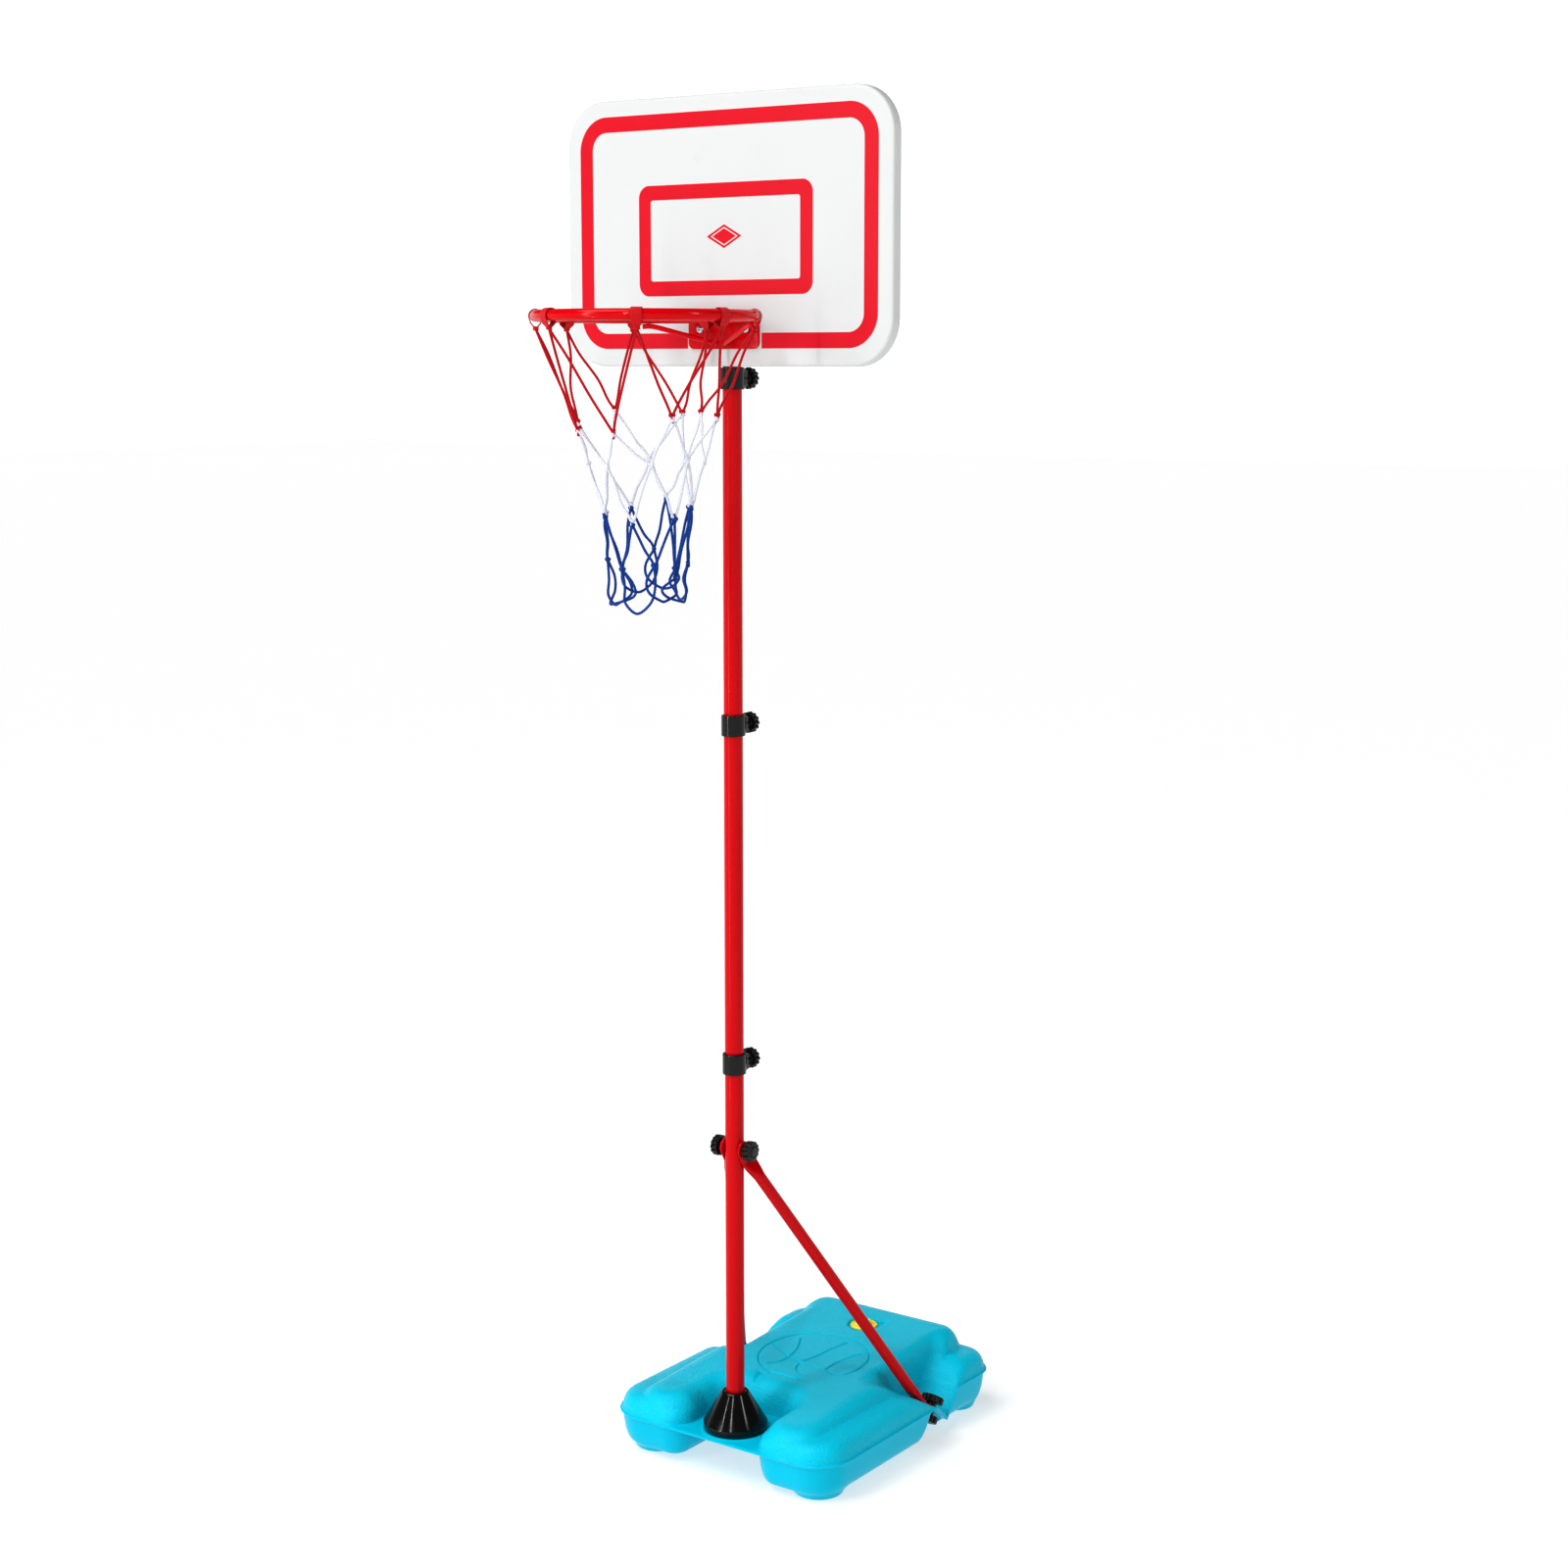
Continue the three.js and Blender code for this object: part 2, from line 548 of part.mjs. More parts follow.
function strutGeometry() {
  const top = new THREE.Vector3(TAB_X, 0, STRUT_TOP_Z);
  const low = new THREE.Vector3(SHELF_BOLT_X, SHELF_BOLT_Y, shelfZ(SHELF_BOLT_Y))
    .addScaledVector(shelfNormal, GAP + TAB_HALF_T);
  const run = low.clone().sub(top);
  const topDir = new THREE.Vector3(0, run.y, run.z).normalize();
  const lowDir = run.clone().addScaledVector(shelfNormal, -run.dot(shelfNormal)).normalize();
  const bendTop = top.clone().addScaledVector(topDir, 15);
  const bendLow = low.clone().addScaledVector(lowDir, -17);
  const axis = bendLow.clone().sub(bendTop).normalize();
  const length = bendLow.distanceTo(bendTop);

  // Stations along the strut: [centre, direction, thickness normal, flatness, half width].
  const stations = [];
  const tip = (origin, dir, normal, sign) => [1, 0.93, 0.7, 0.35].map((part) => {
    const halfWidth = TAB_HALF_W * Math.sqrt(Math.max(1 - part * part, 0.02));
    const centre = origin.clone().addScaledVector(dir, sign * part * TAB_HALF_W);
    return [centre, dir, normal, 1, halfWidth];
  });
  const sideways = new THREE.Vector3(1, 0, 0);
  const shape = (part) => TAB_HALF_W + (STRUT_R - TAB_HALF_W) * part;
  const topBlend = topDir.clone().add(axis).normalize();
  const lowBlend = lowDir.clone().add(axis).normalize();
  stations.push(...tip(top, topDir, sideways, -1));
  stations.push([top.clone().addScaledVector(topDir, 7), topDir, sideways, 1, TAB_HALF_W]);
  stations.push([bendTop, topBlend, sideways, 0.95, TAB_HALF_W]);
  for (const [at, flat] of [[10, 0.7], [20, 0.3], [30, 0]]) {
    stations.push([bendTop.clone().addScaledVector(axis, at), axis, sideways, flat,
      shape(1 - flat)]);
  }
  for (const [at, flat] of [[30, 0], [20, 0.3], [10, 0.7]]) {
    stations.push([bendTop.clone().addScaledVector(axis, length - at), axis, shelfNormal, flat,
      shape(1 - flat)]);
  }
  stations.push([bendLow, lowBlend, shelfNormal, 0.95, TAB_HALF_W]);
  stations.push([low.clone().addScaledVector(lowDir, -8), lowDir, shelfNormal, 1, TAB_HALF_W]);
  stations.push(...tip(low, lowDir, shelfNormal, 1).reverse());

  const outlines = stations.map(([, , , flat, halfWidth], level) => {
    const halfT = TAB_HALF_T + (STRUT_R - TAB_HALF_T) * (1 - flat);
    const power = 2 / (2 + 5 * flat);
    const phase = sectionPhase(stations[level]);
    return Array.from({ length: SECTION_POINTS }, (_, j) => {
      const angle = (j / SECTION_POINTS) * 2 * Math.PI - phase;
      const bulge = (v) => Math.sign(v) * Math.abs(v) ** power;
      return new THREE.Vector2(halfWidth * bulge(Math.cos(angle)), halfT * bulge(Math.sin(angle)))
        .rotateAround(new THREE.Vector2(), phase);
    });
  });
  const body = loft(outlines, (p, level) => {
    const [centre, dir] = stations[level];
    const { first, second } = sectionFrame(dir);
    return centre.clone().addScaledVector(first, p.x).addScaledVector(second, p.y);
  });

  const along = new THREE.Quaternion().setFromUnitVectors(new THREE.Vector3(0, 0, 1), axis);
  const bore = rod(STRUT_R - 1.2, 34, length - 34).applyQuaternion(along)
    .translate(bendTop.x, bendTop.y, bendTop.z);
  const drain = rod(1.5, -12, 0, 8).rotateX(-Math.PI / 4)
    .translate(...bendTop.clone().addScaledVector(axis, length - 45).toArray());
  const topHole = rod(SCREW_HOLE_R, 0, 40).rotateY(Math.PI / 2).translate(0, 0, STRUT_TOP_Z);
  const lowHole = ontoShelf(rod(SCREW_HOLE_R, -2, 12), 1);
  return cut(solid(body), solid(bore), solid(drain), solid(topHole), solid(lowHole));
}

// Two directions across a station; the first is as near to X as it can be.
function sectionFrame(dir) {
  const first = new THREE.Vector3(1, 0, 0).addScaledVector(dir, -dir.x).normalize();
  return { first, second: dir.clone().cross(first) };
}

// The angle of a station's width in its frame.
function sectionPhase([, dir, normal]) {
  const { first, second } = sectionFrame(dir);
  const flat = normal.clone().addScaledVector(dir, -normal.dot(dir));
  return Math.atan2(flat.dot(second), flat.dot(first)) + Math.PI / 2;
}

const KNOB_SEAT_X = TAB_X + TAB_HALF_T + GAP;

for (const [side, name] of [[1, 'right'], [-1, 'left']]) {
  const strut = strutGeometry();
  addPiece(`strut_${name}`, toGeometry(side > 0 ? strut : mirrorX(strut)), RED_PAINT);
  const topKnob = toGeometry(knobNutSolid(10)).rotateY(side * Math.PI / 2);
  addPiece(`strut_knob_${name}`, topKnob, BLACK).position
    .set(side * KNOB_SEAT_X, 0, STRUT_TOP_Z);

  const seat = 2 * GAP + 2 * TAB_HALF_T;
  const under = -(SHELF_T * Math.cos(SHELF_TILT) + GAP);
  const shelfKnob = toGeometry(knobNutSolid(11)).translate(0, 0, seat);
  addPiece(`shelf_knob_${name}`, ontoShelf(shelfKnob, side), BLACK);
  const head = knobSolid(seat + 10 - under).rotate([180, 0, 0]).translate([0, 0, under]);
  addPiece(`shelf_bolt_${name}`, ontoShelf(toGeometry(head), side), BLACK);
}
addPiece('strut_bolt', rod(SCREW_R, -KNOB_SEAT_X - 9, KNOB_SEAT_X + 9)
  .rotateY(Math.PI / 2).translate(0, 0, STRUT_TOP_Z), CHROME);

// ---------------------------------------------------------------- backboard
const BOARD_BACK = BOARD_FRONT + BOARD_DEPTH;
const SKIN_BACK = BOARD_FRONT + BOARD_SKIN;

// A body in the board's plane: outline corners are [x, z, radius], levels are [inset, y].
function upright(corners, levels, steps) {
  const outlines = levels.map(([inset]) => roundedOutline(corners, inset, steps));
  return loft(outlines, (p, level) => new THREE.Vector3(p.x, -levels[level][1], p.y))
    .applyMatrix4(new THREE.Matrix4().makeScale(1, -1, 1));
}

function flipped(geometry) {
  const order = geometry.index.array;
  for (let i = 0; i < order.length; i += 3) [order[i], order[i + 1]] = [order[i + 1], order[i]];
  return geometry;
}

function rectangle(halfWidth, bottom, top, radius) {
  return [
    [halfWidth, bottom, radius], [halfWidth, top, radius],
    [-halfWidth, top, radius], [-halfWidth, bottom, radius],
  ];
}

const SLEEVE = { bottom: 1478, top: 1518, r: 14.4 };

// The two holes that the ring's screws pass through, from the plate to the saddle.
function rimScrewHoles() {
  return [-1, 1].map((side) => solid(rod(RIM_SCREW_R + GAP, 0, 30)
    .rotateX(Math.PI / 2).translate(side * RIM_SCREW_X, 0, RIM_SCREW_Z)));
}

function backboardGeometry() {
  const outline = rectangle(BOARD_HALF_W, BOARD_BOTTOM, BOARD_TOP, BOARD_CORNER);
  const shell = solid(flipped(upright(outline, [
    [2.6, BOARD_FRONT], [0.8, BOARD_FRONT + 0.8], [0, BOARD_FRONT + 2.6], [0, BOARD_BACK],
  ], 7)));
  const pocket = solid(flipped(upright(outline, [
    [BOARD_SKIN, SKIN_BACK], [BOARD_SKIN, BOARD_BACK + 2],
  ], 7)));
  const ribTop = SKIN_BACK + RIB_H;
  const half = RIB_T / 2;
  const ribs = RIB_X.flatMap((x) => [-x, x]).map(
    (x) => box(x - half, x + half, SKIN_BACK - 1, ribTop, BOARD_BOTTOM + 1, BOARD_TOP - 1));
  const crossRibs = RIB_Z.flatMap((z) => [
    box(-BOARD_HALF_W + 1, -RIB_X[0], SKIN_BACK - 1, ribTop, z - half, z + half),
    box(RIB_X[0], BOARD_HALF_W - 1, SKIN_BACK - 1, ribTop, z - half, z + half),
  ]);
  const { bottom, top, r } = SLEEVE;
  const sleeve = join(
    solid(rod(r, bottom, top, 24)), solid(box(-r, r, SKIN_BACK - 1, 0, bottom, top)));
  const poleSpace = solid(rod(TUBE_R + GAP, BOARD_BOTTOM - 10, top + 5, 24));
  const mouth = solid(box(
    -TUBE_R - 1.5, TUBE_R + 1.5, SKIN_BACK, BOARD_BACK + 5, BOARD_BOTTOM - 5, 1330));
  const saddleSpace = solid(box(-45, 45, SKIN_BACK, BOARD_BACK + 5, 1328, 1359));
  const body = join(cut(shell, pocket), ...ribs.map(solid), ...crossRibs.map(solid), sleeve);
  return toGeometry(cut(body, poleSpace, mouth, saddleSpace, ...rimScrewHoles()));
}

addPiece('backboard', backboardGeometry(), WHITE);

// ---------------------------------------------------------------- ring, plate and brackets
const PLATE_BACK = BOARD_FRONT - GAP;
const PLATE_FRONT = PLATE_BACK - PLATE_T;

function rimPlateGeometry() {
  const outline = [
    [PLATE_HALF_W, PLATE_BOTTOM, 7], [PLATE_HALF_W, PLATE_TOP, 3],
    [-PLATE_HALF_W, PLATE_TOP, 3], [-PLATE_HALF_W, PLATE_BOTTOM, 7],
  ];
  const plate = solid(flipped(upright(outline, [[0, PLATE_FRONT], [0, PLATE_BACK]], 4)));
  const reach = RING_R + RING_TUBE_R + GAP + 0.2;
  const halfTongue = 38;
  const start = Math.asin(halfTongue / reach);
  const shape = new THREE.Shape();
  shape.moveTo(halfTongue, PLATE_FRONT + 1);
  shape.lineTo(halfTongue, RING_Y + reach * Math.cos(start));
  shape.absarc(0, RING_Y, reach, Math.PI / 2 - start, Math.PI / 2 + start, false);
  shape.lineTo(-halfTongue, PLATE_FRONT + 1);
  const tongue = new THREE.ExtrudeGeometry(
    shape, { depth: PLATE_T, bevelEnabled: false, curveSegments: 12 });
  const strapGap = box(-16, 16, RING_Y, PLATE_FRONT, RING_Z - 5, RING_Z + 5);
  const tongues = cut(solid(tongue.translate(0, 0, RING_Z - PLATE_T / 2)), solid(strapGap));
  return toGeometry(cut(join(plate, tongues), ...rimScrewHoles()));
}

function ringGeometry() {
  const outer = new THREE.TorusGeometry(RING_R, RING_TUBE_R, 10, 48);
  const inner = new THREE.TorusGeometry(RING_R, RING_TUBE_R - 1.5, 6, 24);
  const drain = rod(1.5, -10, 0, 8).translate(0, RING_R, 0);
  return toGeometry(cut(solid(outer), solid(inner), solid(drain)).translate(0, RING_Y, RING_Z));
}

const BRACE_R = 2.8;

// A brace from the plate's lower middle to the underside of the ring.
function braceGeometry(side) {
  const angle = THREE.MathUtils.degToRad(BRACE_ANGLE);
  const start = new THREE.Vector3(side * 4.2, PLATE_FRONT - BRACE_R - GAP, 1327);
  const end = new THREE.Vector3(
    side * RING_R * Math.cos(angle), RING_Y + RING_R * Math.sin(angle),
    RING_Z - RING_TUBE_R - BRACE_R - GAP - 0.1);
  const bend = end.clone().lerp(start, 0.16).setZ(end.z - 0.4);
  const path = new THREE.CatmullRomCurve3([start, start.clone().lerp(bend, 0.5), bend, end]);
  const section = new THREE.Shape().absarc(0, 0, BRACE_R, 0, 2 * Math.PI, false);
  const geometry = new THREE.ExtrudeGeometry(
    section, { extrudePath: path, steps: 8, curveSegments: 4, bevelEnabled: false });
  return toGeometry(solid(geometry));
}

const SADDLE_T = 2;
const SADDLE_H = 25;
const SADDLE_HALF_W = 40;
const SADDLE_BACK = SKIN_BACK + GAP + 0.1 + SADDLE_T;

// The strap around the back of the pole that the ring's screws pull tight.
function saddleGeometry() {
  const inner = TUBE_R + GAP + 0.1;
  const outer = inner + SADDLE_T;
  const front = SADDLE_BACK - SADDLE_T;
  const shape = new THREE.Shape();
  shape.moveTo(SADDLE_HALF_W, front);
  shape.lineTo(SADDLE_HALF_W, SADDLE_BACK);
  shape.lineTo(outer, SADDLE_BACK);
  shape.lineTo(outer, 0);
  shape.absarc(0, 0, outer, 0, Math.PI, false);
  shape.lineTo(-outer, SADDLE_BACK);
  shape.lineTo(-SADDLE_HALF_W, SADDLE_BACK);
  shape.lineTo(-SADDLE_HALF_W, front);
  shape.lineTo(-inner, front);
  shape.lineTo(-inner, 0);
  shape.absarc(0, 0, inner, Math.PI, 0, true);
  shape.lineTo(inner, front);
  const strap = new THREE.ExtrudeGeometry(
    shape, { depth: SADDLE_H, bevelEnabled: false, curveSegments: 9 });
  const middle = RIM_SCREW_Z - SADDLE_H / 2;
  return toGeometry(cut(solid(strap.translate(0, 0, middle)), ...rimScrewHoles()));
}

// A round-headed screw along +Y, with its head's underside at y = 0.
function rimScrewGeometry(reach) {
  const head = turned([[0, -3.2], [2.8, -2.9], [4.6, -1.2], [4.8, 0], [0, 0]].reverse()
    .map(([r, z]) => [r, -z]), 14);
  const shank = rod(RIM_SCREW_R, -reach, 1);
  return toGeometry(join(solid(head), solid(shank))).rotateX(Math.PI / 2);
}

function rimNutGeometry() {
  const hex = new THREE.CylinderGeometry(4.6, 4.6, 4, 6).rotateX(Math.PI / 2)
    .translate(0, 0, 2);
  return toGeometry(cut(solid(hex), solid(rod(RIM_SCREW_R + GAP, -1, 5))))
    .rotateX(-Math.PI / 2);
}

addPiece('rim_plate', rimPlateGeometry(), RED_PAINT);
addPiece('rim_ring', ringGeometry(), RED_PAINT);
addPiece('pole_saddle', saddleGeometry(), CHROME);
for (const [side, name] of [[1, 'right'], [-1, 'left']]) {
  addPiece(`rim_brace_${name}`, braceGeometry(side), RED_PAINT);
  const x = side * RIM_SCREW_X;
  const nutSeat = SADDLE_BACK + GAP;
  addPiece(`rim_screw_${name}`, rimScrewGeometry(nutSeat + 5.5 - PLATE_FRONT), CHROME)
    .position.set(x, PLATE_FRONT - GAP, RIM_SCREW_Z);
  addPiece(`rim_nut_${name}`, rimNutGeometry(), CHROME).position.set(x, nutSeat, RIM_SCREW_Z);
}

// ---------------------------------------------------------------- net
// A strap loop around the ring's tube; its tail hangs down and carries the cords.
const LOOP_W = 11;
const LOOP_TAIL = 17;

function netLoopGeometry() {
  const outer = RING_TUBE_R + 1.6;
  const inner = RING_TUBE_R + 0.4;
  const shape = new THREE.Shape();
  shape.moveTo(2, -LOOP_TAIL);
  shape.lineTo(outer * Math.cos(-0.7), outer * Math.sin(-0.7));
  shape.absarc(0, 0, outer, -0.7, Math.PI + 0.7, false);
  shape.lineTo(-2, -LOOP_TAIL);
  const hole = new THREE.Path().absarc(0, 0, inner, 0, 2 * Math.PI, true);
  shape.holes.push(hole);
  const strap = new THREE.ExtrudeGeometry(
    shape, { depth: LOOP_W, bevelEnabled: false, curveSegments: 6 });
  return strap.translate(0, 0, -LOOP_W / 2).rotateX(Math.PI / 2);
}

LOOP_ANGLES.forEach((degrees, i) => {
  const angle = THREE.MathUtils.degToRad(degrees);
  const loop = addPiece(`net_loop_${i + 1}`, netLoopGeometry(), RED_CORD);
  loop.position.set(RING_R * Math.cos(angle), RING_Y + RING_R * Math.sin(angle), RING_Z);
  loop.rotation.z = angle;
});

// One colour of the net: a thin flaring sleeve with both ends open.
function netBandGeometry([topZ, topR], [lowZ, lowR]) {
  const wall = 2;
  const top = topZ - 0.5;
  const low = lowZ + 0.5;
  return turned([[lowR - wall, low], [lowR, low], [topR, top], [topR - wall, top]], 24)
    .translate(0, RING_Y, 0);
}

addPiece('net_red', netBandGeometry(NET.strap, NET.red), RED_CORD);
addPiece('net_white', netBandGeometry(NET.red, NET.white), WHITE_CORD);
addPiece('net_blue', netBandGeometry(NET.white, NET.blue), BLUE_CORD);

export default hoop;
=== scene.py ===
# The looks of a portable basketball hoop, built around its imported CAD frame.
#
# Shapes are made in millimetres about the pole's axis, with +Z up and the ring towards -Y,
# and are moved into the frame in metres when they become Blender objects.

import itertools
import math
from contextlib import contextmanager

import bmesh
import bpy
import numpy as np
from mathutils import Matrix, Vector


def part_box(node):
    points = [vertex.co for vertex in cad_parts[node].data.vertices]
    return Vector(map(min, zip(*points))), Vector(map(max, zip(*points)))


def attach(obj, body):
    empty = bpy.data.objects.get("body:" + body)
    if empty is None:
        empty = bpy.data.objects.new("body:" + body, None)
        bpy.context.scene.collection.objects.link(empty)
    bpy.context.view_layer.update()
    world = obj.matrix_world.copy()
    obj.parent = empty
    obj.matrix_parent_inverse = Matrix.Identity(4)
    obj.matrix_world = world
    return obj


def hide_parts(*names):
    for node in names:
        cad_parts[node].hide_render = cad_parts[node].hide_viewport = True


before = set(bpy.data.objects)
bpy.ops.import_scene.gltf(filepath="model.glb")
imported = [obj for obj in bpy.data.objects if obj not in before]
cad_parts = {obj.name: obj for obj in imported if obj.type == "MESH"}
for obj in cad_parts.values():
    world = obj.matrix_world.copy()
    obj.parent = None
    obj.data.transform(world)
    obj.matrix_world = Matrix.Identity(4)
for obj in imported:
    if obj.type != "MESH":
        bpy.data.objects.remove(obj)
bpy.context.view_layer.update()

MM = 0.001
UP = np.array([0, 0, 1.0])
RNG = np.random.default_rng(11)
GAP = 0.3    # between pieces that touch
TURN = 2 * math.pi
SIDES = ((1, "right"), (-1, "left"))


# ---------------------------------------------------------------- places taken from the frame
def corners(node):
    """The lowest and highest corner of a CAD node, in mm about the pole's axis."""
    low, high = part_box(node)
    axis = np.array([POLE.x, POLE.y, 0.0])
    return (np.array(low) - axis) / MM, (np.array(high) - axis) / MM


POLE = sum(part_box("pole_lower"), Vector()) / 2
TUBE_R = (corners("pole_lower")[1] - corners("pole_lower")[0])[0] / 2
BOARD_LOW, BOARD_HIGH = corners("backboard")
RING_LOW, RING_HIGH = corners("rim_ring")
RING_CENTRE = (RING_LOW + RING_HIGH) / 2
RING_TUBE_R = (RING_HIGH[2] - RING_LOW[2]) / 2
RING_R = (RING_HIGH[0] - RING_LOW[0]) / 2 - RING_TUBE_R
COLLAR_H = (corners("collar_low")[1] - corners("collar_low")[0])[2]
COLLAR_Z = [sum(corners(f"collar_{p}"))[2] / 2 for p in ("low", "mid", "top")]


# ---------------------------------------------------------------- making objects
def to_frame(points):
    return np.asarray(points, float) * MM + np.array([POLE.x, POLE.y, 0.0])


def shade_smooth(mesh):
    mesh.polygons.foreach_set("use_smooth", [True] * len(mesh.polygons))


def linked(name, data):
    obj = bpy.data.objects.new(name, data)
    bpy.context.scene.collection.objects.link(obj)
    return obj


def new_object(name, points, faces, material):
    mesh = bpy.data.meshes.new(name)
    mesh.from_pydata(to_frame(points).tolist(), [], [list(map(int, f)) for f in faces])
    mesh.materials.append(material)
    shade_smooth(mesh)
    mesh.update()
    return linked(name, mesh)


def stand_in(obj, body, node):
    """Makes a finished object ride on a body in a CAD node's place."""
    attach(obj, body)
    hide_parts(node)
    return obj


def piece(name, shape, material, body, node):
    return stand_in(new_object(name, *shape, material), body, node)


@contextmanager
def edited(obj):
    """An object's mesh for editing, which is written back afterwards."""
    mesh = bmesh.new()
    mesh.from_mesh(obj.data)
    yield mesh
    mesh.to_mesh(obj.data)
    mesh.free()


def carried(node, material, bevel=0.3):
    """A CAD node that stays, with its edges broken and a better material."""
    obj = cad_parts[node]
    obj.data.materials.clear()
    obj.data.materials.append(material)
    weld = obj.modifiers.new("weld", "WELD")
    weld.merge_threshold = 0.01 * MM
    edge = obj.modifiers.new("edges", "BEVEL")
    edge.width = bevel * MM
    edge.segments = 2
    edge.limit_method = "ANGLE"
    edge.angle_limit = math.radians(35)
    edge.harden_normals = True
    shade_smooth(obj.data)


def merged(*shapes):
    """Several (points, faces) as one."""
    points, faces, start = [], [], 0
    for some_points, some_faces in shapes:
        points.append(np.asarray(some_points, float))
        faces += [[start + int(i) for i in face] for face in some_faces]
        start += len(some_points)
    return np.concatenate(points), faces


def moved(shape, rotation=None, shift=(0, 0, 0)):
    points, faces = shape
    points = np.asarray(points, float)
    if rotation is not None:
        points = points @ np.asarray(rotation, float).T
    return points + np.asarray(shift, float), faces


def mirrored(shape):
    points, faces = shape
    return np.asarray(points, float) * [-1, 1, 1], [list(face)[::-1] for face in faces]


def around_circle(count):
    return np.arange(count) * TURN / count


def unit(vector):
    vector = np.asarray(vector, float)
    return vector / np.linalg.norm(vector)


def turn_to(direction, about=(1, 0, 0)):
    """A rotation that takes +Z to a direction, and keeps X near another one."""
    z = unit(direction)
    x = np.asarray(about, float)
    x = unit(x - z * (x @ z))
    return np.stack([x, np.cross(z, x), z], axis=1)


# ---------------------------------------------------------------- lathes, lofts and tubes
def softened(profile, radius=0.6, steps=3):
    """An open profile of [r, z] points with its corners rounded."""
    profile = [np.asarray(p, float) for p in profile]
    out = [profile[0]]
    for before, here, after in zip(profile, profile[1:], profile[2:]):
        back, ahead = before - here, after - here
        reach = min(radius, np.linalg.norm(back) * 0.45, np.linalg.norm(ahead) * 0.45)
        a, b = here + unit(back) * reach, here + unit(ahead) * reach
        for t in np.linspace(0, 1, steps + 1):
            out.append(a * (1 - t) ** 2 + here * 2 * t * (1 - t) + b * t * t)
    out.append(profile[-1])
    return np.array(out)


def turned(profile, sides=72):
    """A body of revolution about Z. A closed profile repeats its first point at its end."""
    profile = np.asarray(profile, float)
    closed = np.allclose(profile[0], profile[-1])
    if closed:
        profile = profile[:-1]
    angles = around_circle(sides)
    rings = np.stack([
        profile[:, None, 0] * np.cos(angles), profile[:, None, 0] * np.sin(angles),
        np.repeat(profile[:, 1:2], sides, axis=1)], axis=2)
    return stack(rings, closed=closed)


def stack(rings, closed=False, caps=True):
    """Faces between rings of equal counts, with flat caps unless the stack closes on itself."""
    levels, count = len(rings), len(rings[0])
    index = np.arange(levels * count).reshape(levels, count)
    faces = []
    for level in range(levels if closed else levels - 1):
        low, high = index[level], index[(level + 1) % levels]
        faces += np.stack(
            [low, np.roll(low, -1), np.roll(high, -1), high], axis=1).tolist()
    if not closed and caps:
        faces += [index[0][::-1].tolist(), index[-1].tolist()]
    return np.concatenate(rings), faces


def smooth_path(points, spacing):
    """A Catmull-Rom curve through points, in steps of about the spacing."""
    points = np.asarray(points, float)
    padded = np.concatenate([[2 * points[0] - points[1]], points, [2 * points[-1] - points[-2]]])
    out = []
    for a, b, c, d in zip(padded, padded[1:], padded[2:], padded[3:]):
        steps = max(2, int(np.linalg.norm(c - b) / spacing))
        t = np.linspace(0, 1, steps, endpoint=False)[:, None]
        out.append(0.5 * (2 * b + (c - a) * t + (2 * a - 5 * b + 4 * c - d) * t ** 2
                          + (3 * b - a - 3 * c + d) * t ** 3))
    return np.concatenate([*out, points[-1:]])


def tube(path, radius, sides=12, section=None):
    """A round tube along a path. section(angle, run) scales its radius."""
    path = np.asarray(path, float)
    ahead = np.gradient(path, axis=0)
    ahead /= np.linalg.norm(ahead, axis=1)[:, None]
    side = np.cross(ahead[0], [0.31, 0.17, 0.93])
    run = np.concatenate([[0], np.cumsum(np.linalg.norm(np.diff(path, axis=0), axis=1))])
    radius = np.broadcast_to(radius, len(path))
    angles = around_circle(sides)
    rings = []
    for i, point in enumerate(path):
        side = unit(side - ahead[i] * (side @ ahead[i]))
        other = np.cross(ahead[i], side)
        r = radius[i] * (section(angles, run[i]) if section else np.ones(sides))
        rings.append(point + (r * np.cos(angles))[:, None] * side
                     + (r * np.sin(angles))[:, None] * other)
    return stack(rings)


CORD_R = 1.5
CORD_PITCH = 9.0    # along the cord, for one turn of its three strands


def laid(angles, run):
    """The section of a cord of three strands."""
    phase = 1.5 * (angles - TURN * run / CORD_PITCH)
    return 0.80 + 0.26 * np.abs(np.cos(phase))


def cord(points, radius=CORD_R):
    """A laid cord along a smooth curve through points."""
    return tube(smooth_path(points, 1.3), radius, 10, laid)


# ---------------------------------------------------------------- outlines
def rounded_outline(outline, inset=0.0, steps=10):
    """A rounded polygon. Corners are [x, y, radius], counter-clockwise; inset moves sides in."""
    corner = np.array([p[:2] for p in outline], float)
    count = len(corner)
    ahead = np.roll(corner, -1, axis=0) - corner
    ahead /= np.linalg.norm(ahead, axis=1)[:, None]
    start = corner + np.stack([-ahead[:, 1], ahead[:, 0]], axis=1) * inset
    out = []
    for i in range(count):
        d0, d1 = ahead[i - 1], ahead[i]
        turn = d0[0] * d1[1] - d0[1] * d1[0]
        gap = start[i] - start[i - 1]
        along = (gap[0] * d1[1] - gap[1] * d1[0]) / turn
        apex = start[i - 1] + d0 * along
        radius = max(outline[i][2] - inset * np.sign(turn), 0.8)
        angle = math.atan2(turn, d0 @ d1)
        first = apex - d0 * radius * math.tan(abs(angle) / 2)
        middle = first + np.array([-d0[1], d0[0]]) * np.sign(turn) * radius
        for k in range(steps + 1):
            swing = angle * k / steps
            c, s = math.cos(swing), math.sin(swing)
            x, y = first - middle
            out.append(middle + np.array([x * c - y * s, x * s + y * c]))
    return np.array(out)


def both_sides(half):
    return [*half, *[(-x, y, r) for x, y, r in reversed(half)]]


def rectangle(half_width, low, high, radius):
    return both_sides([(half_width, low, radius), (half_width, high, radius)])


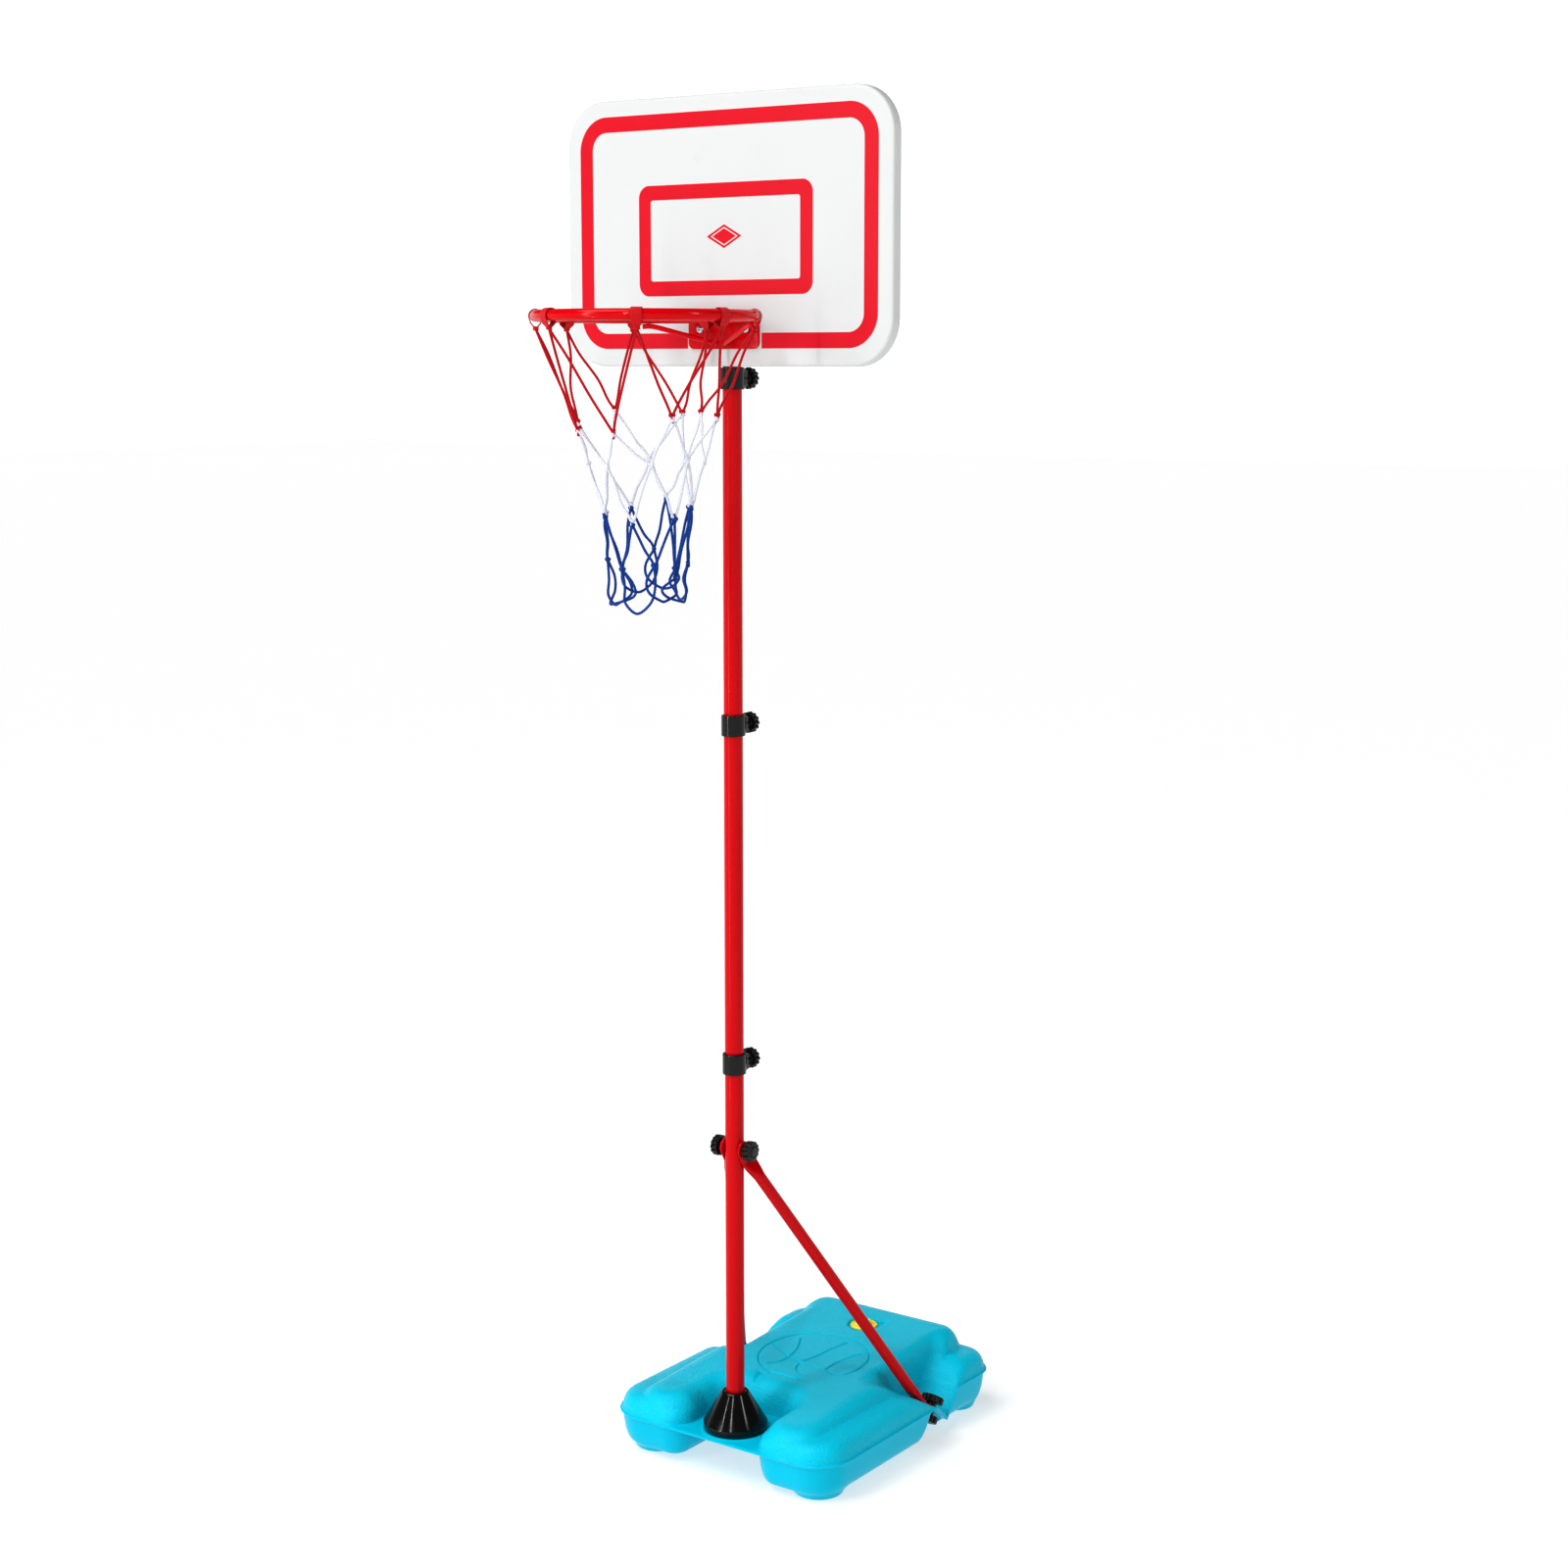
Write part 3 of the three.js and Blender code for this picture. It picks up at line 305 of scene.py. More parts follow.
def outline_distance(outline, us, vs):
    """Signed distance to a closed outline on a grid, negative inside."""
    pu, pv = np.meshgrid(us, vs, indexing="ij")
    best = np.full(pu.shape, 1e9)
    inside = np.zeros(pu.shape, bool)
    for (au, av), (bu, bv) in zip(outline, np.roll(outline, -1, axis=0)):
        eu, ev = bu - au, bv - av
        t = np.clip(((pu - au) * eu + (pv - av) * ev) / (eu * eu + ev * ev + 1e-12), 0, 1)
        best = np.minimum(best, np.hypot(pu - au - t * eu, pv - av - t * ev))
        if av != bv:
            inside ^= ((av > pv) != (bv > pv)) & (pu < eu * (pv - av) / ev + au)
    return np.where(inside, -best, best).astype(np.float32)


# ---------------------------------------------------------------- distance fields
def soft_max(a, b, k):
    h = np.clip(0.5 - 0.5 * (b - a) / k, 0, 1)
    return b + (a - b) * h + k * h * (1 - h)


def soft_min(a, b, k):
    return -soft_max(-a, -b, k)


def grid(low, high, step):
    return [np.arange(a, b + step, step, dtype=np.float32) for a, b in zip(low, high)]


def round_grid(low, high, step):
    """A grid, the coordinates of its points and their distance from the Z axis."""
    axes = grid(low, high, step)
    x, y, z = np.meshgrid(*axes, indexing="ij")
    return axes, x, y, z, np.hypot(x, y)


def surface(field, axes):
    """A mesh of quads where a field crosses zero, with one point in each cell it passes."""
    field = field.astype(np.float32)
    inside = field < 0
    cells, index = passed_cells(inside)
    total = np.zeros((len(cells), 3))
    hits = np.zeros(len(cells))
    for axis, a, b in itertools.product(range(3), (0, 1), (0, 1)):
        offset = [a, b]
        offset.insert(axis, 0)
        start = cells + offset
        end = start.copy()
        end[:, axis] += 1
        f0, f1 = field[tuple(start.T)], field[tuple(end.T)]
        cross = (f0 < 0) != (f1 < 0)
        point = np.tile(np.array(offset, float), (len(cells), 1))
        point[:, axis] = f0 / np.where(cross, f0 - f1, 1)
        total[cross] += point[cross]
        hits += cross
    step = axes[0][1] - axes[0][0]
    origin = np.array([axis[0] for axis in axes], float)
    return (cells + total / hits[:, None]) * step + origin, crossing_quads(inside, index)


def passed_cells(inside):
    """The cells that have corners on both sides, and each cell's number among them."""
    nx, ny, nz = (n - 1 for n in inside.shape)
    count = np.zeros((nx, ny, nz), np.uint8)
    for i, j, k in itertools.product((0, 1), repeat=3):
        count += inside[i:i + nx, j:j + ny, k:k + nz]
    cells = np.argwhere((count > 0) & (count < 8))
    index = np.full(count.shape, -1, np.int64)
    index[tuple(cells.T)] = np.arange(len(cells))
    return cells, index


def crossing_quads(inside, index):
    """One quad round each grid edge that leaves or enters the body."""
    quads = []
    for axis in range(3):
        second, third = (axis + 1) % 3, (axis + 2) % 3
        first_half = np.take(inside, range(inside.shape[axis] - 1), axis=axis)
        other_half = np.take(inside, range(1, inside.shape[axis]), axis=axis)
        edges = np.argwhere(first_half != other_half)
        leaving = first_half[tuple(edges.T)]
        quad = []
        for db, dc in ((-1, -1), (0, -1), (0, 0), (-1, 0)):
            cell = edges.copy()
            cell[:, second] += db
            cell[:, third] += dc
            quad.append(index[tuple(cell.T)])
        quad = np.stack(quad, axis=1)
        quad[~leaving] = quad[~leaving][:, ::-1]
        quads.append(quad)
    return np.concatenate(quads)


# ---------------------------------------------------------------- tank dimensions
SEAM_Z = 48
FLANGE_HALF = 1.5
NOTCH_HALF = 50
SIDE_NOTCH_X = 104
SHELF_SLOPE = 0.687
SHELF_TOP_Y = 192.5
SHELF_LOW_Y = 237
SHELF_T = 3.6
NOTCH_REAR_SLOPE = 1.22
FILLER = (0, 276, 90.5)
FILLER_WELL_R = 20
FILLER_BORE_R = 12.5
WELL_DIMPLE = (20, 291, 6)    # a shallow round dimple beside the well: x, y and radius
POLE_SEAT_R = 41.5
TANK_STEP = 1.5
LIP_OUT = 1.7
LIP_UP = 1.15

LOBED = both_sides([
    (NOTCH_HALF, 52, 20), (NOTCH_HALF, -45, 30), (163.5, -45, 47), (163.5, 188.5, 20),
    (150, 237, 20), (150, 354, 36)])
SEAM = both_sides([(163.5, -45, 47), (163.5, 188.5, 20), (150, 237, 20), (150, 354, 36)])
DECK = both_sides([
    (NOTCH_HALF, 52, 20), (NOTCH_HALF, -45, 42), (137, -45, 42), (137, 182.5, 25),
    (120, 237, 25), (120, 351, 36)])

# Shell walls as [inset, height], and the deck's as [inset, share of its full height].
LOWER_WALL = np.array([
    (1.5, 48), (2.4, 40), (3.4, 32), (4.8, 24), (7, 17), (10, 11.5), (14, 8.4), (19, 7), (60, 7)])
SHOULDER_WALL = np.array([
    (1.5, 48), (2, 53), (3.2, 58), (5.5, 63), (9, 67), (14, 69.7), (20, 71), (30, 71.6),
    (60, 71.6)])
DECK_WALL = np.array([
    (0, 0), (2, 0.20), (4, 0.37), (6.5, 0.54), (9, 0.67), (12, 0.785), (15, 0.865), (19, 0.935),
    (24, 0.98), (31, 1), (90, 1)])
FEET = [(118, 4, 31), (-118, 4, 31), (113, 316, 25), (-113, 316, 25)]


def shelf_z(y):
    return SEAM_Z - SHELF_SLOPE * (y - SHELF_TOP_Y)


def notch_rear_z(y):
    return shelf_z(SHELF_LOW_Y) + NOTCH_REAR_SLOPE * (y - SHELF_LOW_Y)


def deck_z(y):
    return 81 + 0.0476 * y


# ---------------------------------------------------------------- materials
def srgb(r, g, b):
    def linear(c):
        c /= 255
        return c / 12.92 if c <= 0.04045 else ((c + 0.055) / 1.055) ** 2.4
    return (linear(r), linear(g), linear(b), 1.0)


class Nodes:
    """Short names for building a material's nodes."""

    def __init__(self, name, roughness, **sockets):
        self.material = bpy.data.materials.new(name)
        self.material.use_nodes = True
        self.tree = self.material.node_tree
        self.shader = self.tree.nodes["Principled BSDF"]
        self.shader.inputs["Roughness"].default_value = roughness
        for socket, value in sockets.items():
            self.shader.inputs[socket.replace("_", " ")].default_value = value
        self.place = self.add("ShaderNodeTexCoord").outputs["Object"]
        self.bumps = None

    def add(self, kind, **settings):
        node = self.tree.nodes.new(kind)
        for key, value in settings.items():
            setattr(node, key, value)
        return node

    def link(self, value, socket):
        if isinstance(value, bpy.types.NodeSocket):
            self.tree.links.new(value, socket)
        else:
            socket.default_value = value

    def math(self, operation, a, b=0.0, c=0.0):
        node = self.add("ShaderNodeMath", operation=operation)
        for value, socket in zip((a, b, c), node.inputs):
            self.link(value, socket)
        return node.outputs[0]

    def axes(self):
        node = self.add("ShaderNodeSeparateXYZ")
        self.link(self.place, node.inputs[0])
        return node.outputs

    def times(self, a, b):
        return self.math("MULTIPLY", a, b)

    def plus(self, a, b):
        return self.math("ADD", a, b)

    def minus(self, a, b):
        return self.math("SUBTRACT", a, b)

    def noise(self, per_metre, detail=3.0, roughness=0.5):
        node = self.add("ShaderNodeTexNoise")
        node.inputs["Scale"].default_value = per_metre
        node.inputs["Detail"].default_value = detail
        node.inputs["Roughness"].default_value = roughness
        self.link(self.place, node.inputs["Vector"])
        return node.outputs["Fac"]

    def cells(self, per_metre):
        node = self.add("ShaderNodeTexVoronoi", feature="F1")
        node.inputs["Scale"].default_value = per_metre
        self.link(self.place, node.inputs["Vector"])
        return node.outputs["Distance"]

    def remap(self, value, low, high, to_low=0.0, to_high=1.0, blend="SMOOTHSTEP"):
        node = self.add("ShaderNodeMapRange", interpolation_type=blend)
        for value_in, socket in zip((value, low, high, to_low, to_high), node.inputs):
            self.link(value_in, socket)
        return node.outputs[0]

    def mix(self, factor, a, b):
        node = self.add("ShaderNodeMix", data_type="RGBA")
        self.link(factor, node.inputs[0])
        self.link(a, node.inputs[6])
        self.link(b, node.inputs[7])
        return node.outputs[2]

    def shade(self, color, factor, low, high):
        """A colour made darker or lighter with a factor."""
        dark = tuple(c * low for c in color[:3]) + (1.0,)
        light = tuple(min(c * high, 1.0) for c in color[:3]) + (1.0,)
        return self.mix(factor, dark, light)

    def color(self, value):
        self.link(value, self.shader.inputs["Base Color"])

    def roughness(self, *mapping):
        """A value, the stretch of it that matters, and the roughness at each end of that."""
        self.link(self.remap(*mapping, "LINEAR"), self.shader.inputs["Roughness"])

    def bump(self, height, distance_mm, strength=1.0):
        node = self.add("ShaderNodeBump")
        node.inputs["Strength"].default_value = strength
        node.inputs["Distance"].default_value = distance_mm * MM
        self.link(height, node.inputs["Height"])
        if self.bumps is not None:
            self.link(self.bumps, node.inputs["Normal"])
        self.bumps = node.outputs["Normal"]
        self.link(self.bumps, self.shader.inputs["Normal"])


TANK_BLUE = srgb(0, 190, 218)
PAINT_RED = srgb(196, 0, 12)
PRINT_RED = srgb(202, 16, 38)
BOARD_WHITE = srgb(203, 205, 205)


def tank_plastic():
    """Blow-moulded plastic: pebbled above the parting line, smooth below it, with painted glints on
    the pebbles.
    """
    m = Nodes("tank_plastic", 0.35, Specular_IOR_Level=0.09)
    _, y, z = m.axes()
    # The parting line drops into the side notches, along the shelf and up its rear wall.
    shelf = m.math("MULTIPLY_ADD", y, -SHELF_SLOPE,
                   (SEAM_Z + SHELF_SLOPE * SHELF_TOP_Y) * MM + SHELF_SLOPE * POLE.y)
    rear = m.math("MULTIPLY_ADD", y, NOTCH_REAR_SLOPE,
                  notch_rear_z(0) * MM - NOTCH_REAR_SLOPE * POLE.y)
    notch = m.minus(m.math("MAXIMUM", shelf, rear), SHELF_T * MM)
    seam = m.math("MINIMUM", notch, SEAM_Z * MM)
    above = m.remap(m.minus(z, seam), 0.001, 0.0045)
    pebbles = m.cells(470)
    fine = m.noise(1300, 2)
    grain = m.times(m.math("MULTIPLY_ADD", fine, 0.3, pebbles), above)
    m.bump(grain, 0.6)
    m.bump(m.noise(25, 1), 0.05)
    m.bump(m.noise(800, 2), 0.02)
    base = m.shade(TANK_BLUE, m.noise(12, 3, 0.5), 0.95, 1.05)
    # A lighter blue painted on the edges of the pebbles above the parting line: painted glints that
    # stand in for highlights on the grain.
    painted_glints = m.times(m.remap(pebbles, 0.15, 0.45), m.times(above, 0.16))
    m.color(m.mix(painted_glints, base, srgb(40, 222, 242)))
    m.roughness(m.math("MULTIPLY_ADD", pebbles, 0.3, m.noise(60, 3)), 0.2, 0.9, 0.10, 0.24)
    return m.material


def red_paint():
    """Glossy powder coat on steel, with orange peel and small scuffs."""
    m = Nodes("red_paint", 0.25, Specular_IOR_Level=0.14)
    m.bump(m.noise(420, 2), 0.010)
    scuff = m.remap(m.noise(220, 6, 0.7), 0.66, 0.8)
    m.color(m.mix(m.times(scuff, 0.10), m.shade(PAINT_RED, m.noise(7, 3), 0.96, 1.03),
                  srgb(150, 4, 14)))
    m.roughness(m.math("MULTIPLY_ADD", scuff, 0.2, m.noise(45, 4)), 0.3, 1.0, 0.12, 0.20)
    return m.material


def moulded_black(name, roughness, level, grain):
    m = Nodes(name, roughness, Specular_IOR_Level=0.3)
    base = (level, level, level * 1.04, 1.0)
    m.bump(m.noise(1100, 3), grain)
    m.bump(m.noise(60, 2), 0.02)
    m.color(m.shade(base, m.noise(70, 4), 0.8, 1.35))
    m.roughness(m.noise(55, 4), 0.25, 0.8, roughness - 0.08, roughness + 0.1)
    return m.material


def zinc_plate():
    m = Nodes("zinc_plate", 0.22, Metallic=1.0)
    m.bump(m.noise(900, 3), 0.01)
    m.color(m.shade(srgb(214, 216, 220), m.noise(160, 5), 0.82, 1.05))
    m.roughness(m.noise(130, 5), 0.3, 0.8, 0.14, 0.34)
    return m.material


def cap_plastic():
    m = Nodes("cap_plastic", 0.4, Specular_IOR_Level=0.45, Subsurface_Weight=0.05)
    m.shader.inputs["Subsurface Radius"].default_value = (0.004, 0.003, 0.001)
    m.bump(m.noise(900, 3), 0.03)
    m.color(m.shade(srgb(252, 230, 76), m.noise(60, 3), 0.92, 1.03))
    m.roughness(m.noise(90, 3), 0.3, 0.8, 0.34, 0.5)
    return m.material


def cord_fibre(name, color, dark, light):
    """Twisted filaments: fine fibres along the strands and a soft sheen."""
    m = Nodes(name, 0.75, Sheen_Weight=0.08, Sheen_Roughness=0.5, Specular_IOR_Level=0.12)
    fibres = m.noise(2200, 3, 0.6)
    m.bump(fibres, 0.18)
    m.bump(m.noise(700, 2), 0.12)
    m.color(m.shade(color, m.plus(m.times(fibres, 0.5),
                                  m.times(m.noise(120, 3), 0.5)), dark, light))
    return m.material


def webbing(name, color):
    """A woven strap: crossing ribs about a millimetre apart."""
    m = Nodes(name, 0.62, Sheen_Weight=0.08, Specular_IOR_Level=0.15)
    x, y, z = m.axes()
    across = m.math("SINE", m.times(m.plus(x, m.plus(y, z)), 5200))
    along = m.math("SINE", m.times(m.minus(m.plus(x, y), z), 5200))
    weave = m.times(across, along)
    m.bump(weave, 0.08)
    m.bump(m.noise(1500, 3), 0.06)
    m.color(m.shade(color, m.remap(weave, -1, 1), 0.82, 1.08))
    return m.material


def rounded_box(m, u, v, half_u, half_v, radius):
    """Signed distance to a rounded rectangle, from absolute offsets."""
    du = m.minus(u, half_u - radius)
    dv = m.minus(v, half_v - radius)
    ou, ov = m.math("MAXIMUM", du, 0.0), m.math("MAXIMUM", dv, 0.0)
    outside = m.math("SQRT", m.plus(m.times(ou, ou), m.times(ov, ov)))
    inside = m.math("MINIMUM", m.math("MAXIMUM", du, dv), 0.0)
    return m.minus(m.plus(outside, inside), radius)


# Printed lines between two rounded rectangles: [half width, low z, high z, corner radius].
PRINT_EDGE = 0.00025
FRAME_PRINT = ((204.5, 1321.8, 1580.8, 38), (186.3, 1339.0, 1563.6, 20))
TARGET_PRINT = ((119.7, 1380.2, 1502.6, 14), (102.8, 1396.8, 1486.3, 3))
PRINT_GAP = 51
PRINT_GAP_TOP = 1360
MARK_Z = 1444.5
MARK_HALF = (24, 13)


def printed_band(m, across, z, outlines):
    masks = []
    for outline in outlines:
        half, low, high, radius = (v * MM for v in outline)
        up = m.math("ABSOLUTE", m.minus(z, (low + high) / 2))
        distance = rounded_box(m, across, up, half, (high - low) / 2, radius)
        masks.append(m.remap(distance, -PRINT_EDGE, PRINT_EDGE, 1.0, 0.0))
    return m.times(masks[0], m.minus(1.0, masks[1]))


def printed_lozenge(m, across, z):
    """A plain lozenge inside a thin lozenge ring."""
    mark_u = m.math("DIVIDE", across, MARK_HALF[0] * MM)
    mark_v = m.math("DIVIDE", m.math("ABSOLUTE", m.minus(z, MARK_Z * MM)), MARK_HALF[1] * MM)
    lozenge = m.plus(mark_u, mark_v)
    return m.times(m.remap(lozenge, 0.985, 1.015, 1.0, 0.0),
                   m.minus(1.0, m.times(m.remap(lozenge, 0.66, 0.69),
                                        m.remap(lozenge, 0.77, 0.80, 1.0, 0.0))))


def board_plastic():
    """White moulded board with red printed lines on its front, left out behind the ring's plate."""
    m = Nodes("board_plastic", 0.32, Specular_IOR_Level=0.14)
    x, y, z = m.axes()
    across = m.math("ABSOLUTE", m.minus(x, POLE.x))
    near_plate = m.times(m.remap(across, PRINT_GAP * MM - PRINT_EDGE, PRINT_GAP * MM + PRINT_EDGE,
                                 1.0, 0.0),
                         m.remap(z, PRINT_GAP_TOP * MM, (PRINT_GAP_TOP + 0.5) * MM, 1.0, 0.0))
    border = m.times(printed_band(m, across, z, FRAME_PRINT), m.minus(1.0, near_plate))
    mark = printed_lozenge(m, across, z)
    ink = m.math("MAXIMUM",
                 m.math("MAXIMUM", border, printed_band(m, across, z, TARGET_PRINT)), mark)
    front = POLE.y + BOARD_LOW[1] * MM
    ink = m.times(ink, m.remap(y, front + 0.8 * MM, front + 1.2 * MM, 1.0, 0.0))
    white = m.shade(BOARD_WHITE, m.noise(9, 3), 0.97, 1.02)
    m.color(m.mix(ink, white, m.shade(PRINT_RED, m.noise(40, 4), 0.93, 1.05)))
    m.bump(m.noise(700, 2), 0.015)
    m.bump(ink, 0.05)
    m.roughness(m.noise(35, 4), 0.3, 0.8, 0.27, 0.40)
    return m.material


TANK_PLASTIC = tank_plastic()
RED_PAINT = red_paint()
GLOSS_BLACK = moulded_black("gloss_black_plastic", 0.13, 0.004, 0.003)
BLACK = moulded_black("black_plastic", 0.15, 0.006, 0.004)
ZINC = zinc_plate()
CAP_PLASTIC = cap_plastic()
BOARD_PLASTIC = board_plastic()
STRAP_RED = webbing("strap_red", srgb(196, 8, 22))
CORD_RED = cord_fibre("cord_red", srgb(182, 6, 22), 0.7, 1.15)
CORD_WHITE = cord_fibre("cord_white", srgb(214, 217, 227), 0.86, 1.03)
CORD_BLUE = cord_fibre("cord_blue", srgb(9, 60, 140), 0.6, 1.3)


# ---------------------------------------------------------------- tank
def wall_height(distance, wall, outer_slope):
    """The wall's height over each point of the plan, and its slope there."""
    inset = -distance
    height = np.interp(inset, wall[:, 0], wall[:, 1])
    height = np.where(inset < wall[0, 0], wall[0, 1] + outer_slope * (inset - wall[0, 0]), height)
    slope = np.abs(np.gradient(wall[:, 1], wall[:, 0]))
    return height, np.interp(inset, wall[:, 0], slope, left=abs(outer_slope))


def side_notch(ys, zs, ax, z):
    """The open V above a side shelf."""
    low = (SHELF_LOW_Y, shelf_z(SHELF_LOW_Y))
    front = (SHELF_TOP_Y - 47 / SHELF_SLOPE, 95)
    rear = (SHELF_LOW_Y + (60 - low[1]) / NOTCH_REAR_SLOPE, 60)
    plan = outline_distance(np.array(
        [front, low, rear, (rear[0] + 16, 73), (rear[0] + 40, 140), (front[0], 140)]), ys, zs)
    wall = SIDE_NOTCH_X + 1 - 0.104 * (z - 5)
    return soft_max(plan[None], wall - ax, 14.0)


def under_shelf(ys, zs, ax):
    """The recess below a side shelf, which the lower screw head sits in."""
    def under(y):
        return shelf_z(y) - SHELF_T
    front = SHELF_TOP_Y - 17
    outline = np.array([
        (front - 14, -9), (SHELF_LOW_Y - 3, -9), (SHELF_LOW_Y - 3, under(SHELF_LOW_Y - 3)),
        (SHELF_TOP_Y, under(SHELF_TOP_Y)), (front + 8, SEAM_Z - FLANGE_HALF - 1)])
    return np.maximum(outline_distance(outline, ys, zs)[None], SIDE_NOTCH_X - ax)


def shelf_strip(ys, zs):
    """The side shelf itself, seen from the side, down to where its rear wall meets the flange."""
    low_y, low_z = SHELF_LOW_Y, shelf_z(SHELF_LOW_Y)
    front = SHELF_TOP_Y - 5
    outline = np.array([
        (front, shelf_z(front)), (front, shelf_z(front) - SHELF_T),
        (low_y + 1, low_z - SHELF_T), (low_y + 4, low_z - SHELF_T + 2),
        (low_y + 28, SEAM_Z - FLANGE_HALF), (low_y + 26, SEAM_Z + FLANGE_HALF), (low_y, low_z)])
    return outline_distance(outline, ys, zs)[None]


def upper_half(lobed, deck, y, z):
    """The shoulders and the raised deck, as far down as the parting line."""
    h_shoulder, s_shoulder = wall_height(lobed, SHOULDER_WALL, 8)
    share, s_deck = wall_height(deck, DECK_WALL, 0.12)
    h_deck = SEAM_Z + (deck_z(y) - SEAM_Z) * share
    top = soft_max(h_shoulder, h_deck, 4.0)
    steep = np.where(h_deck > h_shoulder, s_deck * 34, s_shoulder)
    return np.maximum((z - top) / np.sqrt(1 + steep ** 2), SEAM_Z - 2 - z)


def lower_half(lobed, x, y, z):
    """The underside and its four round feet."""
    h_low, s_low = wall_height(lobed, LOWER_WALL, -8)
    lower = np.maximum((h_low - z) / np.sqrt(1 + s_low ** 2), z - SEAM_Z)
    for fx, fy, fr in FEET:
        reach = np.hypot(x - fx, y - fy) - fr
        foot = soft_max(np.maximum(reach, -z), z - 30, 5.0)
        foot = soft_max(reach + np.maximum(0, 5 - z) * 0.35, foot, 2.0)
        lower = soft_min(lower, foot, 7.0)
    return lower


def tank_shape():
    """The tank as a distance field, so that its moulded corners come out softly rounded."""
    axes = grid((-168, -50, -4), (168, 359, 104), TANK_STEP)
    xs, ys, zs = axes
    x, y, z = xs[:, None, None], ys[None, :, None], zs[None, None, :]
    ax = np.abs(x)
    lobed, deck, seam = (outline_distance(rounded_outline(outline), xs, ys)[:, :, None]
                         for outline in (LOBED, DECK, SEAM))
    shell = np.minimum(upper_half(lobed, deck, y, z), lower_half(lobed, x, y, z))

    notch = side_notch(ys, zs, ax, z)
    shell = soft_max(shell, -notch, 3 + 9 * np.clip((z - 46) / 14, 0, 1))
    recess = under_shelf(ys, zs, ax)
    shell = soft_max(shell, -recess, 3.0)
    flange = np.maximum(np.abs(z - SEAM_Z) - FLANGE_HALF, seam)
    flange = np.maximum(np.maximum(flange, -notch), -recess)
    strip = np.maximum(np.maximum(shelf_strip(ys, zs), seam), SIDE_NOTCH_X - 4 - ax)
    body = np.minimum(soft_min(shell, flange, 1.6), strip)

    seat = np.hypot(x, y) - POLE_SEAT_R
    body = soft_min(body, np.maximum(seat, np.abs(z - SEAM_Z) - FLANGE_HALF - 0.9), 0.8)
    well = np.hypot(x - FILLER[0], y - FILLER[1])
    body = soft_max(body, -np.maximum(well - FILLER_WELL_R, FILLER[2] - z), 2.0)
    body = np.maximum(body, -np.maximum(well - FILLER_BORE_R, 60 - z))
    dimple = np.hypot(x - WELL_DIMPLE[0], y - WELL_DIMPLE[1]) - WELL_DIMPLE[2]
    body = soft_max(body, -np.maximum(dimple, FILLER[2] + 0.5 - z), 1.5)
    return surface(body, axes)


# Lines pressed into the deck, as points [x, y]: a ball's outline and seams, and a short ledge.
BALL = (2.5, 160.5, 69)
GROOVES = [
    [(-67, 166), (-44, 154), (-22, 142), (0, 136), (19, 135), (35, 136)],
    [(-42, 197), (-30, 174), (-24, 155), (-22, 142), (-24, 125), (-33, 113)],
    [(1, 141), (6, 161), (9, 187), (16, 215)],
    [(38, 134), (38, 155), (43, 180), (54, 202)],
    [(1, 132), (4, 121), (13, 112), (23, 108)],
    [(35, 136), (43, 131), (52, 128), (59, 130)],
]
LEDGE = [(-22, 72), (-26, 89), (-9, 96), (30, 97)]
GROOVE_HALF = 1.15
GROOVE_DEPTH = 1.7
DECK_FLOOR = 75


def groove_lines():
    """The ball's rim and its seams, as lines of points [x, y]."""
    angles = np.radians(np.arange(-22, 292, 4))
    rim = np.stack([BALL[0] + BALL[2] * np.cos(angles), BALL[1] + BALL[2] * np.sin(angles)], axis=1)
    return [rim, *[smooth_path(np.c_[line, np.zeros(len(line))], 3)[:, :2] for line in GROOVES]]


def line_distance(points, line):
    best = np.full(len(points), 1e9)
    for a, b in zip(line, line[1:]):
        edge = b - a
        t = np.clip(((points - a) @ edge) / (edge @ edge), 0, 1)
        best = np.minimum(best, np.linalg.norm(points - a - t[:, None] * edge, axis=1))
    return best


def press_grooves(obj):
    """Refines the deck's mesh along its lines and presses them in."""
    lines = groove_lines()
    ledge = np.array(LEDGE, float)

    def deck_points(mesh):
        return (np.array([v.co for v in mesh.verts]) - [POLE.x, POLE.y, 0]) / MM

    def nearest(points, some_lines):
        return np.min([line_distance(points[:, :2], line) for line in some_lines], axis=0)

    with edited(obj) as mesh:
        for _ in range(2):
            mesh.verts.ensure_lookup_table()
            points = deck_points(mesh)
            chosen = (nearest(points, [*lines, ledge]) < 3.2) & (points[:, 2] > DECK_FLOOR)
            edges = [e for e in mesh.edges
                     if chosen[e.verts[0].index] and chosen[e.verts[1].index]]
            bmesh.ops.subdivide_edges(mesh, edges=edges, cuts=1, use_grid_fill=True)
            mesh.verts.index_update()
        points = deck_points(mesh)
        drop = GROOVE_DEPTH * np.exp(-(nearest(points, lines) / GROOVE_HALF) ** 2)
        # The ledge falls away gently in front of its line and sharply behind it.
        ahead = points[:, 1] < np.interp(points[:, 0], *ledge[1:].T)
        reach, depth = np.where(ahead, 3.4, 1.0), np.where(ahead, 2.2, 0.9)
        drop += depth * np.exp(-(nearest(points, [ledge]) / reach) ** 2)
        drop *= points[:, 2] > DECK_FLOOR
        for vert, d in zip(mesh.verts, drop):
            vert.co.z -= d * MM
    shade_smooth(obj.data)


